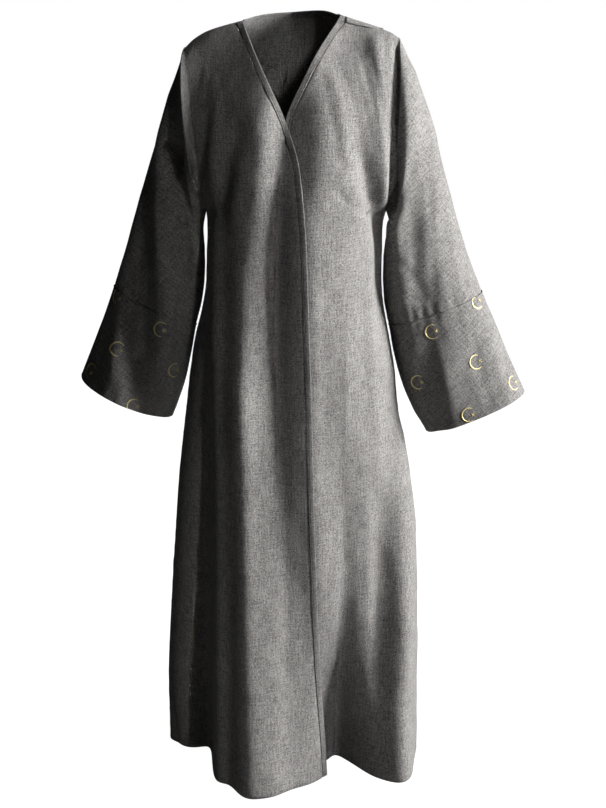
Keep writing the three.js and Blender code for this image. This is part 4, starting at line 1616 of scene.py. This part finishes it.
def embroider(side, cuff):
    """All the motifs of one cuff, joined."""
    shape, shape_faces = crescent_and_star(bpy.context.scene.abaya_trim.motif)
    tree = tree_of(cuff)
    points, faces = [], []
    for face, motifs in MOTIFS[side.name].items():
        way = -1 if face == "front" else 1
        for section, around, mouth in zip(*motifs.values()):
            turn = math.radians(around - 90)
            about = sleeve_places(side, face, np.array(section), np.array(turn)).points()
            about[1] += CLEAR_OF_FOLDS * way
            first = len(points)
            points += lay_on(tree, Vector(about * MM), shape, -way * mouth, MOTIF_LIFT)
            faces += [tuple(first + i for i in corners) for corners in shape_faces]
    flats = np.tile(shape[:, :2], (len(points) // len(shape), 1))
    piece = new_piece(f"embroidery_{side.name}", points, faces, lambda loops: flats[loops])
    return finish_piece(piece, "cuff_cloth", material_for("gold thread"))


def stitch_shape():
    """One stitch, a low rounded bar 1 long and 1 wide, made from a primitive."""
    bpy.ops.object.select_all(action="DESELECT")
    bpy.ops.mesh.primitive_uv_sphere_add(segments=6, ring_count=4, radius=0.5, location=(0, 0, 0))
    bar = bpy.context.object
    bpy.ops.object.mode_set(mode="EDIT")
    bpy.ops.mesh.select_all(action="SELECT")
    bpy.ops.transform.rotate(value=math.pi / 2, orient_axis="Y", center_override=(0, 0, 0))
    bpy.ops.object.mode_set(mode="OBJECT")
    return taken(bar)


def stitch_piece(name, path, normals, slot):
    """Stitches along a path on the cloth, which faces as the normals say."""
    step = bpy.context.scene.abaya_trim.stitch
    bar, bar_faces = stitch_shape()
    steps = np.linalg.norm(np.diff(path, axis=0), axis=1)
    length = np.concatenate([[0], np.cumsum(steps)])
    places = np.arange(step / 2, length[-1] - step / 2, step)

    def at(where, values):
        return np.stack([np.interp(where, length, values[:, i]) for i in range(3)], axis=1)

    centres, facing = at(places, path), at(places, normals)
    along = unit(at(places + step / 4, path) - centres)
    ways = (along, np.cross(facing, along), facing)
    local = bar * np.array([step * STITCH_FILL, STITCH_WIDTH, STITCH_WIDTH * STITCH_HEIGHT])
    points = centres[:, None, :]
    for axis, way in enumerate(ways):
        points = points + local[None, :, axis : axis + 1] * way[:, None, :]
    firsts = range(0, len(places) * len(bar), len(bar))
    faces = [tuple(first + i for i in corners) for first in firsts for corners in bar_faces]
    flats = np.tile(local[:, :2], (len(places), 1))
    vertices = points.reshape(-1, 3).tolist()
    piece = new_piece(name, vertices, faces, lambda loops: flats[loops])
    return finish_piece(piece, slot, material_for("sewing thread"))


# Operators


class ABAYA_OT_fronts(bpy.types.Operator):
    """Make both fronts, each in one with the front of its upper sleeve"""

    bl_idname = "abaya.fronts"
    bl_label = "Fronts"

    def execute(self, context):
        for side in (RIGHT, LEFT):
            make_front(side)
        return {"FINISHED"}


class ABAYA_OT_back(bpy.types.Operator):
    """Make the back, in one with the back of both upper sleeves"""

    bl_idname = "abaya.back"
    bl_label = "Back"

    def execute(self, context):
        make_back()
        return {"FINISHED"}


class ABAYA_OT_cuffs(bpy.types.Operator):
    """Make the lower sleeve panels with their embroidery"""

    bl_idname = "abaya.cuffs"
    bl_label = "Cuffs and embroidery"

    def execute(self, context):
        for side in (RIGHT, LEFT):
            cuff, hem = make_cuff(side)
            motifs = embroider(side, cuff)
        return {"FINISHED"}


class ABAYA_OT_bands(bpy.types.Operator):
    """Make the bands along the front edges and the back neck"""

    bl_idname = "abaya.bands"
    bl_label = "Bands"

    def execute(self, context):
        for side in (RIGHT, LEFT):
            make_front_band(side)
        make_neck_band()
        return {"FINISHED"}


class ABAYA_OT_stage(bpy.types.Operator):
    """Set the pale floor, the soft lights and the camera"""

    bl_idname = "abaya.stage"
    bl_label = "Stage"

    def execute(self, context):
        studio = context.scene.abaya_studio
        bpy.ops.object.select_all(action="DESELECT")
        floor_z = HEM_Z * MM - studio.floor_drop
        bpy.ops.mesh.primitive_plane_add(size=FLOOR_SIZE, location=(0, 0, floor_z))
        floor = context.object
        floor.name = "studio_floor"
        floor.data.materials.append(pale_floor())
        for name, values in LAMPS.items():
            hold(soft_lamp(name, values, getattr(studio, name)), values["place"], aim_of(values["place"]))
        pale_world(context.scene)
        camera = bpy.data.cameras.new("camera")
        camera.lens = studio.lens
        camera.dof.use_dof = False
        tilt = (math.radians(90 - CAMERA_DOWN), 0, 0)
        context.scene.camera = hold(camera, CAMERA_PLACE, tilt)
        return {"FINISHED"}


def soft_lamp(name, values, power):
    """A rectangular lamp."""
    lamp = bpy.data.lights.new(name, "AREA")
    lamp.shape = "RECTANGLE"
    lamp.energy = power
    lamp.size, lamp.size_y = values["size"]
    lamp.spread = math.radians(values["spread"])
    return lamp


def aim_of(place):
    """The turn of a lamp at a place that looks at the robe."""
    return (Vector(LAMP_TARGET) - Vector(place)).to_track_quat("-Z", "Y").to_euler()


def hold(data, place, turn):
    """An object for a lamp or a camera, with the same name."""
    holder = bpy.data.objects.new(data.name, data)
    holder.location = place
    holder.rotation_euler = turn
    bpy.context.collection.objects.link(holder)
    return holder


def pale_floor():
    """A matt floor that the camera sees nearly as white as the backdrop."""
    material, wiring, shader = new_material("pale floor")
    grey = (FLOOR_GREY, FLOOR_GREY, FLOOR_GREY, 1)
    set_inputs(shader, {"Base Color": grey, "Roughness": FLOOR_ROUGHNESS, "Emission Color": (1, 1, 1, 1)})
    path = wiring.node("ShaderNodeLightPath")
    wiring.link(path.outputs["Is Camera Ray"], shader.inputs["Emission Strength"])
    return material


def pale_world(scene):
    """A pale backdrop that lights the robe only a little."""
    world = bpy.data.worlds.new("pale studio")
    scene.world = world
    world.use_nodes = True
    wiring = Wiring(world.node_tree)
    background = world.node_tree.nodes["Background"]
    path = wiring.node("ShaderNodeLightPath")
    strength = wiring.remap(path.outputs["Is Camera Ray"], 0, 1, WORLD_LIGHT, 1.0)
    background.inputs["Color"].default_value = (1, 1, 1, 1)
    wiring.link(strength, background.inputs["Strength"])
    scene.view_settings.view_transform = "Standard"


class ABAYA_PT_panel(bpy.types.Panel):
    """The robe's pieces, and the sizes and colours that may be changed"""

    bl_label = "Abaya"
    bl_idname = "ABAYA_PT_panel"
    bl_space_type = "VIEW_3D"
    bl_region_type = "UI"
    bl_category = "Abaya"

    def draw(self, context):
        for holder in (context.scene.abaya_cloth, context.scene.abaya_trim, context.scene.abaya_studio):
            box = self.layout.box()
            for name in holder.__annotations__:
                box.prop(holder, name)
        for operator in OPERATORS:
            self.layout.operator(operator.bl_idname)


OPERATORS = (
    ABAYA_OT_stage,
    ABAYA_OT_fronts,
    ABAYA_OT_back,
    ABAYA_OT_cuffs,
    ABAYA_OT_bands,
)
CLASSES = (ClothSettings, TrimSettings, StudioSettings, *OPERATORS, ABAYA_PT_panel)


def register():
    """Adds the classes, and their settings to the scene."""
    for each in CLASSES:
        bpy.utils.register_class(each)
    bpy.types.Scene.abaya_cloth = PointerProperty(type=ClothSettings)
    bpy.types.Scene.abaya_trim = PointerProperty(type=TrimSettings)
    bpy.types.Scene.abaya_studio = PointerProperty(type=StudioSettings)


def unregister():
    """Takes out what register added."""
    for name in ("abaya_cloth", "abaya_trim", "abaya_studio"):
        delattr(bpy.types.Scene, name)
    for each in reversed(CLASSES):
        bpy.utils.unregister_class(each)


def main():
    """Makes the whole robe and its studio."""
    register()
    bpy.ops.abaya.stage()
    bpy.ops.abaya.fronts()
    bpy.ops.abaya.back()
    bpy.ops.abaya.cuffs()
    bpy.ops.abaya.bands()


if __name__ == "__main__":
    main()
